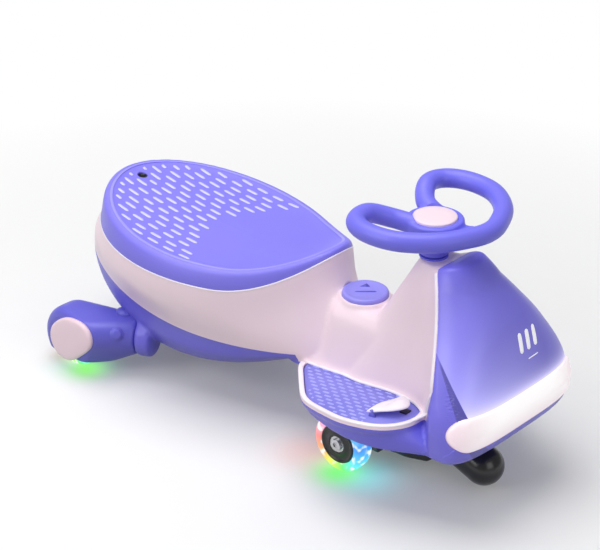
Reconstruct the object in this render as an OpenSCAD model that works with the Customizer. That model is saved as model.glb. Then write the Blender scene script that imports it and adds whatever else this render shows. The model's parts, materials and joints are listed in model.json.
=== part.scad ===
// Wiggle car: a low ride on toy with a saddle seat, two footrests, a steered front yoke and
// two plug-in rear legs.
// Millimetres. +X points forward, +Y to the rider's left, +Z up, and the ground is z = 0.

/* [Seat] */
// Rearmost point of the seat's lower edge
seat_rear_x = -341; // [-346:1:-335]
// Foremost point of the seat's lower edge
seat_tip_x = 72; // [66:1:78]
// Half the seat's width at its lower edge
seat_half_w = 135; // [128:1:139]
// Place along X where the saddle is lowest
saddle_x = -60; // [-75:1:-45]
// Height of the seat's lower edge at the lowest place
lip_z = 195; // [191:1:200]
// Height of the seat's shoulder above its lower edge at the lowest place
shoulder_rise = 26; // [22:1:29]
// How far the shoulder lies inside the lower edge
shoulder_inset = 13; // [9:1:16]
// Depth of the dish in the seat's top
seat_dish = 3; // [1:0.5:5]
// Radius of the strap hole in the seat
strap_r = 4.5; // [3.5:0.5:6]
// Distance of the strap hole from the seat's rear end
strap_inset = 36; // [32:1:44]

/* [Shells] */
// Wall of the moulded shells
wall = 3; // [2.5:0.25:3.5]
// Half width of the body at the seam between the two shells
seam_half_w = 109; // [103:1:113]
// Height of the seam at its lowest place
seam_z = 108; // [104:1:112]
// Height of the belly's lowest place
belly_z = 46; // [40:1:54]
// Height of the deck between seat and column
deck_z = 199; // [196:1:203]
// Half width of the deck
deck_half_w = 38; // [35:1:42]
// Height of the skirt's lower edge
skirt_z = 98; // [96:1:101]
// Gap left along a parting line
parting = 0.4; // [0.3:0.1:0.8]

/* [Footrests] */
// Height of a footrest at its rear end
foot_z = 115; // [112:1:118]
// Slope of a footrest, rising to the front, in degrees
foot_slope = 7; // [5:0.5:8]
// Height of the footrest's lip
lip_h = 8; // [6:1:10]
// Width of the lip round the pad
lip_w = 8; // [6:1:10]
// Thickness of a footrest pad
pad_t = 3; // [2:0.5:4]
// Depth of the pad's top below the lip
pad_drop = 2; // [1:0.5:3]

/* [Lamp] */
// Lower edge of the lamp
lamp_z = 119; // [116:1:124]
// Height of the lamp
lamp_h = 45; // [38:1:48]
// Half the width across the lamp's ends
lamp_half_w = 119; // [112:1:122]
// How far the lens stands out of the cowl
lens_proud = 2; // [1:0.5:3]

/* [Steering] */
// Place of the steering axis along X
steer_x = 214; // [211:1:217]
// Radius of the steering shaft
shaft_r = 10; // [8:0.5:11]
// Height of the column's top
column_z = 296; // [292:1:299]
// Height of the rim's centre line
rim_z = 354; // [350:1:358]
// Radius of the rim's tube
rim_r = 12.4; // [11:0.2:13.4]
// Reach of the rim ahead of the axis
rim_front = 81; // [76:1:86]
// Reach of the rim behind the axis
rim_rear = 58; // [52:1:64]
// Half width of the rim's centre line
rim_half_w = 98; // [92:1:104]
// Radius of the hub
hub_r = 36; // [34:0.5:38]
// Height of the hub's top
hub_top_z = 347; // [345:1:349]
// Radius of the horn disc
horn_r = 27.4; // [25:0.2:29]
// Radius of the deck button
button_r = 30; // [27:0.5:32]
// Place of the deck button along X
button_x = 106.6; // [105:0.2:109]
// Height of the deck button's top
button_top_z = 209.5; // [208:0.5:212]
// Travel of a button
button_travel = 3; // [2:0.5:3.5]

/* [Wheels] */
// Radius of a road wheel
wheel_r = 40; // [38:0.5:41]
// Width of a road wheel
wheel_w = 27; // [24:1:28]
// Radius where the tyre meets its hub
rim_seat_r = 27; // [25:0.5:29]
// Radius of a light bead in the tyre
bead_r = 3.6; // [2.5:0.1:4]
// Number of light beads in a tyre
bead_count = 10; // [6:1:12]
// Radius of the axles
axle_r = 4; // [3.5:0.25:5]
// Trail of the front axle behind the steering axis
trail = 68; // [66:1:70]
// Centre of a front wheel to the mid plane
front_track = 84.5; // [83:0.5:87]
// Place of the rear axle along X
rear_axle_x = -305; // [-307:1:-302]
// Centre of a rear wheel to the mid plane
rear_track = 132; // [130:0.5:134]

/* [Clearances] */
// Radial clearance of a shaft that turns in its bore
run_fit = 0.06; // [0.02:0.01:0.09]
// Gap round a piece that is seated and fixed
seat_gap = 0.1; // [0.05:0.05:0.3]
// Gap round a moving piece beside a fixed one
move_gap = 0.6; // [0.4:0.1:1]

/* [Hidden] */
purple = "#7a70e8";
pink = "#f3dce6";
black = "#1c1c1e";
steel = "#b9bcc2";
far = 1000;
front_axle_x = steer_x - trail;
strap_x = seat_rear_x + strap_inset;

// Lids over a ring that is symmetric about y = 0 and starts on that plane: a full one joins each point to its
// mirror image, and a bent one joins a band's outer points to its inner ones
function full_lid(n) = [for (i = [0:n / 2 - 1]) let (a = i, b = i + 1, c = n - i - 1, d = (n - i) % n)
  each (i == 0 ? [[a, c, b]] : (b == c ? [[a, d, b]] : [[a, d, c], [a, c, b]]))];
function bent_lid(n) = let (h = n / 2) [for (k = [0:(h - 1) / 2 - 1])
  let (a = k, b = k + 1, c = h - k - 1, d = h - k, e = (n - a) % n, f = n - b, g = n - c, i = n - d)
  each [[a, c, b], [a, d, c], [e, f, g], [e, g, i]]];

// A closed skin over rings of points
module skin(rings, lid) {
  n = len(rings[0]);
  m = len(rings);
  points = [for (r = rings) each r];
  sides = [for (k = [0:m - 2], i = [0:n - 1]) let (a = k * n + i, b = k * n + (i + 1) % n)
    each [[a, b, b + n], [a, b + n, a + n]]];
  top = is_undef(lid) ? full_lid(n) : lid;
  base = (m - 1) * n;
  foot = [for (f = top) [f[0] + base, f[2] + base, f[1] + base]];
  polyhedron(points, concat(sides, top, foot));
}

// Half width of a teardrop outline at share s of its length, widest at a / (a + b)
function teardrop(s, w, a, b) = w * pow(s * (a + b) / a, a) * pow((1 - s) * (a + b) / b, b);

// Teardrop ring between two places on X
ring_n = 40;
function teardrop_ring(x0, x1, w, a, b) = [for (i = [0:ring_n - 1])
  let (turn = 360 * i / ring_n, s = (1 - cos(turn)) / 2, side = turn <= 180 ? -1 : 1)
  [x0 + (x1 - x0) * s, side * teardrop(s, w, a, b)]];

// Heights that depend on the place along X alone
function bowl(x, x_low, z_low, rear, front) = z_low + (x < x_low ? rear : front) * pow(x - x_low, 2);
function lip_at(x) = bowl(x, saddle_x, lip_z, 2.6e-4, 3.5e-3);
function shoulder_at(x) = bowl(x, saddle_x, lip_z + shoulder_rise, 4.3e-4, 2.5e-3);
function seam_at(x) = bowl(x, -90, seam_z, 7.6e-4, 5e-4);
function belly_at(x) = bowl(x, -165, belly_z, 2.2e-3, 1.3e-3);
function foot_at(x) = foot_z + (x - foot_rear_x) * tan(foot_slope);
foot_rear_x = 77;

// Rings of the seat and belly, from the dish down to the underside; inset shrinks the form evenly
function seat_ring(d, z_of, inset) = [for (p = teardrop_ring(seat_rear_x + d + inset,
  seat_tip_x - d * 0.8 - inset, seat_half_w - d - inset, 0.53, 0.68)) [p.x, p.y, z_of(p.x)]];
function belly_ring(x0, x1, w, z_of, inset, blunt = 0.4) =
  [for (p = teardrop_ring(x0 + inset, x1 - inset, w - inset, blunt, 0.72)) [p.x, p.y, z_of(p.x)]];
function mixed(x, t) = lip_at(x) * (1 - t) + shoulder_at(x) * t;
function flare_at(x) = lip_at(x) * 0.55 + seam_at(x) * 0.45;
function bilge_at(x) = (seam_at(x) + belly_at(x)) / 2;
function keel_at(x) = min(belly_at(x) + 8, seam_at(x) - 6);
function floor_at(x) = min(belly_at(x), seam_at(x) - 8);
seam_rear_x = seat_rear_x - 23;
neck_x = seat_tip_x + 10;
function tub_rings(i) = [
  seat_ring(seat_half_w - i - 1, function (x) shoulder_at(x) - seat_dish - i, i),
  seat_ring(62, function (x) shoulder_at(x) - seat_dish - i, i),
  seat_ring(30, function (x) shoulder_at(x) - seat_dish * 0.7 - i, i),
  seat_ring(shoulder_inset + 5, function (x) shoulder_at(x) - 0.6 - i, i),
  seat_ring(shoulder_inset, function (x) shoulder_at(x) - i, i),
  seat_ring(shoulder_inset * 0.4, function (x) mixed(x, 0.82) - i * 0.4, i),
  seat_ring(0, function (x) lip_at(x), i),
  belly_ring(seat_rear_x - 15, neck_x, seat_half_w - 2, function (x) flare_at(x), i, 0.52),
  belly_ring(seam_rear_x, neck_x + 61, seam_half_w, function (x) seam_at(x), i),
  belly_ring(seam_rear_x + 5, neck_x + 38, seam_half_w - 5, function (x) bilge_at(x) + i, i),
  belly_ring(seam_rear_x + 22, neck_x + 22, seam_half_w - 24, function (x) keel_at(x) + i, i),
  belly_ring(seam_rear_x + 48, neck_x + 8, seam_half_w - 51, function (x) floor_at(x) + i, i)];

// Deck between the seat's nose and the column: an arch that is lofted along X
function deck_ring(x, i) = let (base_w = 56 + 8 * min(1, max(0, (x - 50) / 60)) - i, z = deck_z - i,
    top_w = deck_half_w * min(1, max(0.35, (x - 30) / 60)) - i)
  let (half = [[0, z], [top_w - 10, z - 1], [top_w, z - 7], [top_w + 8, z - 22],
    [base_w - 6, foot_z + 12], [base_w, foot_z], [base_w, skirt_z + i], [0, skirt_z + i]])
  [for (p = half) [x, -p[0], p[1]], for (k = [len(half) - 2:-1:1]) [x, half[k][0], half[k][1]]];

// Column and cowl: level outlines that run from the column's rear face round to the cowl's front
function rear_at(z) = 146 + (z - 205) * 0.6;
function rear_half_at(z) = lookup(z, [[skirt_z, 70], [122, 66], [160, 53], [205, 39], [250, 31], [297, 25]]);
function edge_x_at(z) = lookup(z, [[skirt_z, 309], [149, 309], [186, 303], [230, 287], [257, 273],
  [284, 257], [300, 247], [316, 240]]);
function edge_half_at(z) = lookup(z, [[skirt_z, 114], [110, 119], [149, 122], [186, 108], [230, 83],
  [257, 64], [284, 45], [300, 31], [316, 18]]);
function front_at(z) = lookup(z, [[skirt_z, 350], [110, 359], [128, 364], [142, 365], [165, 361], [205, 348],
  [250, 327], [285, 298], [304, 276], [316, 258]]);
function bend_at(z) = lookup(z, [[120, 0.52], [230, 0.85], [300, 1]]);
function flank_at(z) = lookup(z, [[120, 0], [200, 0.16]]);
function cheek_at(z) = lookup(z, [[120, 0.27], [200, 0.52]]);
function power(v, e) = sign(v) * pow(abs(v), e);
function tower_ring(z, i, rise = 0) = let (xr = rear_at(z) + i, wr = rear_half_at(z) - i, xe = edge_x_at(z),
    we = edge_half_at(z) - i, xf = front_at(z) - i, e = bend_at(z))
  let (half = concat([[xr, 0], [xr + 0.2 * wr, 0.62 * wr], [xr + 0.7 * wr, wr * 0.97],
      [(xr + xe) / 2 + 8, wr + flank_at(z) * (we - wr)], [xe * 0.8 + xr * 0.2, wr + cheek_at(z) * (we - wr)],
      [xe, we]],
      [for (a = [15:15:90]) [xe + (xf - xe) * power(sin(a), e), we * power(cos(a), e)]]))
  let (lift = function (x) rise * min(1, max(0, (x - steer_x - 20) / 30)))
  [for (p = half) [p[0], -p[1], z + lift(p[0])],
   for (k = [len(half) - 2:-1:1]) [half[k][0], half[k][1], z + lift(half[k][0])]];
crest = 11;
function tower_rings(i) = concat([tower_ring(column_z - i, i, crest)],
  [for (z = [284, 266, 246, 222, 196, 172, 150, 128, 110]) tower_ring(z, i)], [tower_ring(skirt_z + i, i)]);

// Footrest frame: z = 0 is the lip's top, tilted about the footrest's rear end
module on_foot() {
  translate([foot_rear_x, 0, foot_z]) rotate([0, -foot_slope, 0])
    translate([-foot_rear_x, 0, 0]) children();
}

// Plan of a footrest as discs: x, half offset, radius
foot_discs = [[64, 62, 14], [152, 103, 48], [205, 108, 53], [236, 106, 50], [266, 113, 21.5]];
skirt_discs = concat(foot_discs, [[318, 94, 22]]);
skirt_draft = 6;
module foot_plan(side, inset, low, high) {
  on_foot() hull() for (d = foot_discs) translate([d[0], side * d[1], low])
    cylinder(r = d[2] - inset, h = high - low, $fn = 24);
}
module foot_solid(i) {
  for (side = [-1, 1]) {
    foot_plan(side, i, -lip_h - wall + i, -i);
    hull() {
      on_foot() for (d = foot_discs) translate([d[0], side * d[1], -lip_h - 1])
        cylinder(r = d[2] - skirt_draft / 2 - i, h = i > 0 ? 2 : 1, $fn = 24);
      for (d = skirt_discs) translate([d[0], side * d[1], skirt_z + i])
        cylinder(r = d[2] - skirt_draft - i, h = 1, $fn = 24);
    }
  }
}

// Outer form of the whole body, shrunk by i
module form(i) {
  skin(tub_rings(i));
  skin([for (x = [180 - i, 150, 120, 90, 60, 30 + i]) deck_ring(x, i)]);
  skin(tower_rings(i));
  foot_solid(i);
}

// Upright slab across the car, over an outline in X and Z
module across(outline) {
  rotate([90, 0, 0]) linear_extrude(height = far, center = true) polygon(outline);
}
back_x = -400;
module above_lip(gap) {
  across([for (x = [back_x:20:100]) [x, lip_at(x) + gap], [100, far], [back_x, far]]);
}
// Parting line between the shells: it follows the footrests and then climbs to the cowl's edge
climb_z = 186;
climb_x = 291;
function climb_at(x) = let (low = foot_at(climb_x) - lip_h)
  low + (climb_z - low) * max(0, x - climb_x) / (edge_x_at(climb_z) - climb_x);
step_x = 46;
function parting_z(x) = x < step_x ? seam_at(x) : (x < climb_x ? foot_at(x) - lip_h : climb_at(x));
module above_seam(gap) {
  xs = [for (x = [back_x:20:40]) x, step_x - 2, step_x, for (x = [60:20:280]) x, climb_x,
    edge_x_at(climb_z), 320];
  across(concat([for (x = xs) [x, parting_z(x) + gap]], [[320, far], [back_x, far]]));
}
module ahead_of_edge(gap) {
  across(concat([[edge_x_at(skirt_z) + gap, -far]],
    [for (z = [skirt_z, 149, 186, 230, 257, 284, 300, 316]) [edge_x_at(z) + gap, z]],
    [[edge_x_at(316) + gap, far], [far, far], [far, -far]]));
}

// Lamp: a band on the cowl's front with rounded ends
lamp_mid_z = lamp_z + lamp_h / 2;
module lamp_slab(grow) {
  rotate([90, 0, 90]) linear_extrude(height = far) hull() for (side = [-1, 1])
    translate([side * (lamp_half_w - lamp_h / 2), lamp_mid_z]) circle(r = lamp_h / 2 + grow, $fn = 32);
}
function front_x(y, z, i) = let (c = pow(min(1, abs(y) / (edge_half_at(z) - i)), 1 / bend_at(z)))
  edge_x_at(z) + (front_at(z) - i - edge_x_at(z)) * pow(max(0, 1 - c * c), bend_at(z) / 2);
function lamp_ring(t, grow, outer, inner) = let (r = lamp_h / 2 + grow, z = lamp_mid_z + r * sin(t),
    half = lamp_half_w - lamp_h / 2 + r * cos(t), ys = [for (k = [0:12]) half * sin(90 * k / 12)])
  let (right = [for (y = ys) [front_x(y, z, outer), -y, z],
    for (k = [12:-1:0]) [front_x(ys[k], z, inner), -ys[k], z]])
  concat(right, [for (k = [len(right) - 2:-1:1]) [right[k].x, -right[k].y, right[k].z]]);
module lamp_band(grow, outer, inner) {
  rings = [for (t = [-86, -60, -35, -12, 12, 35, 60, 86]) lamp_ring(t, grow, outer, inner)];
  skin(rings, bent_lid(len(rings[0])));
}

// Moulded seat with an eye in its rear for a pull strap
eyelet_wall = 2.5;
eyelet_h = 14;
module seat_cover() {
  color(purple) difference() {
    intersection() {
      form(0);
      above_lip(parting / 2);
    }
    form(wall);
    translate([strap_x, 0, 0]) cylinder(r = strap_r + eyelet_wall + 2 * seat_gap, h = far, $fn = 48);
  }
}
module strap_eyelet() {
  top = shoulder_at(strap_x) - seat_dish + 1;
  color(black) translate([strap_x, 0, top - eyelet_h]) difference() {
    cylinder(r = strap_r + eyelet_wall, h = eyelet_h, $fn = 64);
    translate([0, 0, -1]) cylinder(r = strap_r, h = eyelet_h + 2, $fn = 64);
  }
}

// Upper shell: seat tub, deck, column and both footrests, with a pocket for the deck button
boss_wall = 3.5;
button_proud = 5.5;
boss_top_z = button_top_z - button_proud;
pocket_z = button_top_z - 17;
pocket_floor = 4;
button_t = 13 - button_travel;
guide_r = 6;
bush_wall = 4;
bush_l = 16;
pad_bed = 2;
module upper_shell() {
  bush_r = shaft_r + bush_wall + 2 * seat_gap;
  color(pink) difference() {
    union() {
      difference() {
        intersection() {
          form(0);
          above_seam(parting / 2);
        }
        form(wall);
      }
      translate([button_x, 0, pocket_z - pocket_floor])
        cylinder(r = button_r + boss_wall, h = boss_top_z - pocket_z + pocket_floor, $fn = 48);
      intersection() {
        translate([steer_x, 0, column_z - bush_l]) cylinder(r = bush_r + wall, h = bush_l, $fn = 32);
        form(wall / 2);
      }
      for (side = [-1, 1]) foot_plan(side, wall / 2, -pad_drop - pad_t - pad_bed, -pad_drop - pad_t);
    }
    above_lip(-parting / 2);
    ahead_of_edge(-parting / 2);
    translate([button_x, 0, pocket_z]) cylinder(r = button_r + move_gap, h = far, $fn = 48);
    translate([button_x, 0, 0]) cylinder(r = guide_r + move_gap, h = far, $fn = 24);
    translate([steer_x, 0, column_z - far / 2]) cylinder(r = bush_r, h = far, $fn = 48);
    for (side = [-1, 1]) foot_plan(side, lip_w, -pad_drop - pad_t, wall);
  }
}

// Lower shell: belly, skirts, floor under the column and the two sockets for the rear legs
leg_turn = 25;
leg_root = [-219, 94, 60];
socket_r = 29;
plug_r = 20;
plug_l = 20;
sunk = 4;
leg_head_r = 5;
hatch_x = -165;
hatch_l = 88;
hatch_w = 58;
inlet_x = -60;
inlet_z = 90;
inlet_r = 6;
module at_leg(side) {
  translate([leg_root.x, side * leg_root.y, leg_root.z]) rotate([0, -90, -side * leg_turn]) children();
}
module lower_shell() {
  color(purple) difference() {
    union() {
      difference() {
        intersection() {
          form(0);
          difference() {
            translate([-far, -far, -far]) cube(2 * far);
            above_seam(-parting / 2);
            ahead_of_edge(-parting / 2);
          }
        }
        form(wall);
      }
      for (side = [-1, 1]) difference() {
        at_leg(side) {
          translate([0, 0, -plug_l - wall]) cylinder(r = plug_r + 2 * wall, h = plug_l + wall, $fn = 40);
          translate([0, 0, -plug_l]) cylinder(r = socket_r, h = plug_l, $fn = 40);
        }
        form(wall);
      }
      difference() {
        translate([hatch_x - hatch_l / 2 - hatch_edge, -hatch_w / 2 - hatch_edge, hatch_top_z + seat_gap])
          cube([hatch_l + 2 * hatch_edge, hatch_w + 2 * hatch_edge, 4 * wall]);
        form(wall);
      }
    }
    for (side = [-1, 1]) at_leg(side) {
      translate([0, 0, -plug_l]) cylinder(r = plug_r + 2 * seat_gap, h = far / 10, $fn = 48);
      translate([0, 0, -plug_l / 2]) rotate([0, -90, 0]) {
        cylinder(r = screw_r + move_gap, h = socket_r + 2, $fn = 20);
        translate([0, 0, socket_r - sunk]) cylinder(r = leg_head_r + move_gap, h = far / 10, $fn = 24);
      }
    }
    translate([hatch_x - hatch_l / 2, -hatch_w / 2, 0]) cube([hatch_l, hatch_w, belly_z + 4 * wall]);
    for (p = hatch_screws) translate([p.x, p.y, 0]) cylinder(r = screw_r + seat_gap, h = far / 10, $fn = 20);
    translate([steer_x, 0, 0])
      cylinder(r = shaft_r + bush_wall + 2 * seat_gap, h = skirt_z + 4 * wall, $fn = 48);
    translate([inlet_x, 0, inlet_z]) rotate([-90, 0, 0])
      cylinder(r = inlet_r + inlet_flange + 2 * seat_gap, h = far, $fn = 32);
  }
}

module front_cowl() {
  color(purple) difference() {
    intersection() {
      form(0);
      ahead_of_edge(parting / 2);
    }
    form(wall);
    lamp_slab(parting / 2);
  }
}
module headlight_lens() {
  color("#fff4f8") lamp_band(-parting / 2, -lens_proud, wall);
}

// Row of lamps on a bent strip behind the lens
strip_t = 2;
module headlight_board() {
  color("white") lamp_band(-6, wall + 2 * parting, wall + 2 * parting + strip_t);
}

// Ribbed pad in a footrest; the right one has the pedal's two hinge lugs
pedal_x = 231;
pedal_y = -116;
pedal_hinge_h = 4.5;
pedal_pin_r = 2;
barrel_r = 4;
barrel_w = 20;
lug_w = 4;
lug_gap = 0.4;
module footrest_pad(side) {
  color(purple) difference() {
    union() {
      foot_plan(side, lip_w + seat_gap, -pad_drop - pad_t + seat_gap, -pad_drop);
      if (side < 0) on_foot() for (end = [-1, 1])
        translate([pedal_x, pedal_y + end * (barrel_w / 2 + lug_gap + lug_w / 2), 0]) {
          rotate([90, 0, 0]) translate([0, pedal_hinge_h, 0])
            cylinder(r = barrel_r, h = lug_w, center = true, $fn = 32);
          translate([-barrel_r, -lug_w / 2, -pad_drop - 1])
            cube([2 * barrel_r, lug_w, pedal_hinge_h + pad_drop + 1]);
        }
    }
    if (side < 0) on_foot() translate([pedal_x, pedal_y, pedal_hinge_h]) rotate([90, 0, 0])
      cylinder(r = pedal_pin_r + seat_gap, h = barrel_w + 4 * lug_w, center = true, $fn = 32);
  }
}
module footrest_pad_left() { footrest_pad(1); }
module footrest_pad_right() { footrest_pad(-1); }

// Foot pedal: a leaf that is hinged at its rear end and springs up at its front
pedal_lift = 8;
pedal_t = 5;
pedal_discs = [[24, 8, 12], [22, 20, 9], [10, 31, 5]];
module foot_pedal() {
  color(pink) on_foot() translate([pedal_x, pedal_y, pedal_hinge_h]) difference() {
    hull() {
      rotate([90, 0, 0]) cylinder(r = barrel_r, h = barrel_w, center = true, $fn = 32);
      for (d = pedal_discs) translate([d[0], d[1], pedal_lift - pedal_t])
        cylinder(r = d[2], h = pedal_t, $fn = 32);
    }
    rotate([90, 0, 0]) cylinder(r = pedal_pin_r + run_fit, h = far, center = true, $fn = 32);
    for (end = [-1, 1]) translate([0, end * (barrel_w / 2 + lug_w + 2 * lug_gap), 0])
      cube([2 * barrel_r + 4, 2 * lug_w + 4 * lug_gap, 4 * barrel_r], center = true);
  }
}
module pedal_pin() {
  color(steel) on_foot() translate([pedal_x, pedal_y, pedal_hinge_h]) rotate([90, 0, 0])
    cylinder(r = pedal_pin_r, h = barrel_w + 2 * (lug_w + lug_gap), center = true, $fn = 32);
}
switch_size = [10, 10, 2];
module pedal_switch() {
  color(black) on_foot() translate([pedal_x + 22, pedal_y + 12, -pad_drop + seat_gap]) cube(switch_size);
}

// Steering bushes and the shaft that runs in them
flange_w = 4;
flange_t = 2;
module bush(z, flange_z) {
  color("white") translate([steer_x, 0, 0]) difference() {
    union() {
      translate([0, 0, z]) cylinder(r = shaft_r + bush_wall, h = bush_l, $fn = 64);
      translate([0, 0, flange_z]) cylinder(r = shaft_r + bush_wall + flange_w, h = flange_t, $fn = 64);
    }
    translate([0, 0, z - flange_t - 1])
      cylinder(r = shaft_r + run_fit, h = bush_l + 2 * flange_t + 2, $fn = 64);
  }
}
module upper_steering_bush() { bush(column_z - bush_l + seat_gap, column_z + seat_gap); }
module lower_steering_bush() { bush(skirt_z - seat_gap, skirt_z - flange_t - seat_gap); }
washer_t = 2;
shaft_low_z = 54;
screw_head_h = 4;
horn_floor_z = hub_top_z - 10;
shaft_top_z = horn_floor_z - screw_head_h - 3;
bolt_r = 4;
cap_screw_r = 3;
module steering_shaft() {
  color(steel) translate([steer_x, 0, shaft_low_z]) difference() {
    cylinder(r = shaft_r, h = shaft_top_z - shaft_low_z, $fn = 64);
    translate([0, 0, -1]) cylinder(r = bolt_r + seat_gap, h = 26, $fn = 48);
    translate([0, 0, shaft_top_z - shaft_low_z - 20]) cylinder(r = cap_screw_r + seat_gap, h = 21, $fn = 48);
  }
}

// Steering wheel: a heart shaped rim on a hub with a tapered collar
collar_low_z = column_z + flange_t + 1;
collar_low_r = 17.5;
collar_top_z = hub_top_z - 22;
collar_top_r = 30;
heart = [[-12, 20], [-40, 32], [-58, 58], [-53, 86], [-24, 100], [18, 94], [56, 64], [77, 26], [83, 0]];
function rim_point(p) = [p[0] * (p[0] > 0 ? rim_front / 83 : rim_rear / 58), p[1] * rim_half_w / 100,
  rim_z - (p[0] < 0 && p[1] < 58 ? (58 - p[1]) * 0.38 : 0)];
heart_half = [for (p = heart) rim_point(p)];
heart_path = concat(heart_half,
  [for (k = [len(heart) - 2:-1:0]) [heart_half[k].x, -heart_half[k].y, heart_half[k].z]]);
function spline(p, k, t) =
  let (n = len(p) - 1, a = p[max(0, k - 1)], b = p[k], c = p[k + 1], d = p[min(n, k + 2)])
  0.5 * (2 * b + (c - a) * t + (2 * a - 5 * b + 4 * c - d) * t * t + (3 * b - a - 3 * c + d) * t * t * t);
rim_points = [for (k = [0:len(heart_path) - 2], t = [0, 0.5]) spline(heart_path, k, t),
  heart_path[len(heart_path) - 1]];
module steering_wheel() {
  color(purple) translate([steer_x, 0, 0]) difference() {
    union() {
      for (k = [0:len(rim_points) - 2]) hull() for (p = [rim_points[k], rim_points[k + 1]])
        translate(p) sphere(r = rim_r, $fn = 16);
      hull() {
        translate([hub_r - 12, -17, collar_top_z + 2]) cube([4, 34, 14]);
        translate([rim_front - 4, -20, rim_z - 8]) cube([4, 40, 9]);
      }
      rotate_extrude($fn = 48) polygon([[0, collar_low_z], [collar_low_r, collar_low_z],
        [collar_top_r, collar_top_z], [hub_r, collar_top_z + 4], [hub_r, hub_top_z - 3],
        [hub_r - 3, hub_top_z], [0, hub_top_z]]);
    }
    translate([0, 0, horn_floor_z]) cylinder(r = horn_r + move_gap, h = far, $fn = 48);
    translate([0, 0, horn_floor_z - screw_head_h - 1]) cylinder(r = 7, h = far, $fn = 32);
    translate([0, 0, collar_low_z - 1])
      cylinder(r = shaft_r + 2 * seat_gap, h = shaft_top_z - collar_low_z + 1 + seat_gap, $fn = 48);
    cylinder(r = cap_screw_r + 2 * seat_gap, h = far, $fn = 32);
  }
}
module steering_wheel_bolt() {
  color(steel) translate([steer_x, 0, horn_floor_z - screw_head_h - 1 + seat_gap]) difference() {
    union() {
      cylinder(r = 6, h = screw_head_h, $fn = 32);
      translate([0, 0, -18]) cylinder(r = cap_screw_r, h = 19, $fn = 32);
    }
    translate([0, 0, 1.5]) cylinder(r = 2.5, h = screw_head_h, $fn = 6);
  }
}
board_t = 1.6;
module horn_board() {
  color("darkgreen") translate([steer_x, 0, horn_floor_z + seat_gap])
    cylinder(r = horn_r - 3, h = board_t, $fn = 48);
}
horn_top_z = hub_top_z + 3;
module horn_button() {
  low = horn_floor_z + board_t + button_travel + 2 * seat_gap + 0.6;
  color(pink) translate([steer_x, 0, 0]) rotate_extrude($fn = 64) polygon([[0, low], [horn_r, low],
    [horn_r, horn_top_z - 1.5], [horn_r - 1.5, horn_top_z - 0.5], [0, horn_top_z]]);
}
module start_button() {
  low = button_top_z - button_t;
  color(purple) translate([button_x, 0, 0]) rotate_extrude($fn = 64) polygon([[0, low - 14],
    [guide_r, low - 14], [guide_r, low], [button_r, low], [button_r, button_top_z - 2],
    [button_r - 2, button_top_z], [0, button_top_z]]);
}

// Front yoke: a hub on the shaft, a beam for the axle behind it and a nose with the anti tip roller
yoke_top_z = skirt_z - flange_t - 2 * seat_gap - washer_t - 0.3;
yoke_r = 28;
yoke_low_z = 48;
spacer_l = 4;
beam_half = front_track - wheel_w / 2 - spacer_l;
beam_r = 13;
nose_r = 26;
nose_x = steer_x + 92;
nose_z = 33;
roller_r = 15;
roller_w = 10;
roller_x = nose_x;
roller_z = roller_r + 5;
roller_room = 3;
roller_pin_r = 3;
wheel_bolt_r = 2;
module front_yoke() {
  color(black) difference() {
    union() {
      translate([steer_x, 0, yoke_low_z]) cylinder(r = yoke_r, h = yoke_top_z - yoke_low_z, $fn = 64);
      hull() {
        translate([front_axle_x, 0, wheel_r]) rotate([90, 0, 0])
          cylinder(r = beam_r, h = 2 * beam_half, center = true, $fn = 32);
        translate([steer_x, 0, yoke_low_z + 2]) cylinder(r = yoke_r - 5, h = 24, $fn = 32);
      }
      hull() {
        translate([nose_x, 0, nose_z]) sphere(r = nose_r, $fn = 32);
        translate([steer_x, 0, yoke_low_z + 2]) cylinder(r = yoke_r - 8, h = 26, $fn = 32);
      }
    }
    translate([steer_x, 0, shaft_low_z]) cylinder(r = shaft_r + seat_gap, h = far / 10, $fn = 64);
    translate([steer_x, 0, 0]) cylinder(r = bolt_r + seat_gap, h = yoke_top_z, $fn = 48);
    translate([steer_x, 0, 0]) cylinder(r = 10, h = yoke_low_z, $fn = 48);
    translate([front_axle_x, 0, wheel_r]) rotate([90, 0, 0])
      cylinder(r = axle_r + seat_gap, h = far, center = true, $fn = 48);
    translate([roller_x, 0, roller_z]) rotate([90, 0, 0]) {
      cylinder(r = roller_pin_r + seat_gap, h = far, center = true, $fn = 48);
      cylinder(r = roller_r + roller_room, h = roller_w + 2, center = true, $fn = 48);
    }
    translate([roller_x - roller_r - roller_room, -roller_w / 2 - 1, -1])
      cube([2 * (roller_r + roller_room), roller_w + 2, roller_z]);
  }
}
module thrust_washer() {
  color(steel) translate([steer_x, 0, yoke_top_z + seat_gap]) difference() {
    cylinder(r = shaft_r + bush_wall + flange_w, h = washer_t, $fn = 64);
    translate([0, 0, -1]) cylinder(r = shaft_r + seat_gap, h = washer_t + 2, $fn = 64);
  }
}
module yoke_bolt() {
  color(steel) translate([steer_x, 0, yoke_low_z - seat_gap]) {
    translate([0, 0, -6]) cylinder(r = 8, h = 6, $fn = 6);
    cylinder(r = bolt_r, h = 28, $fn = 32);
  }
}
module across_y(x, y, z, side) {
  translate([x, side * y, z]) rotate([-90 * side, 0, 0]) children();
}
module front_axle() {
  reach = front_track + bearing_out;
  color(steel) translate([front_axle_x, 0, wheel_r]) rotate([90, 0, 0]) difference() {
    cylinder(r = axle_r, h = 2 * reach, center = true, $fn = 48);
    for (side = [-1, 1]) translate([0, 0, side * reach])
      cylinder(r = wheel_bolt_r + seat_gap, h = 30, center = true, $fn = 32);
  }
}
module front_wheel_bolts() {
  reach = front_track + bearing_out + 0.3;
  color(steel) for (side = [-1, 1]) across_y(front_axle_x, reach, wheel_r, side) difference() {
    union() {
      cylinder(r = 8, h = 3.2, $fn = 48);
      translate([0, 0, -14]) cylinder(r = wheel_bolt_r, h = 15, $fn = 32);
    }
    translate([0, 0, 1.2]) cylinder(r = 4, h = 5, $fn = 6);
  }
}
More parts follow.
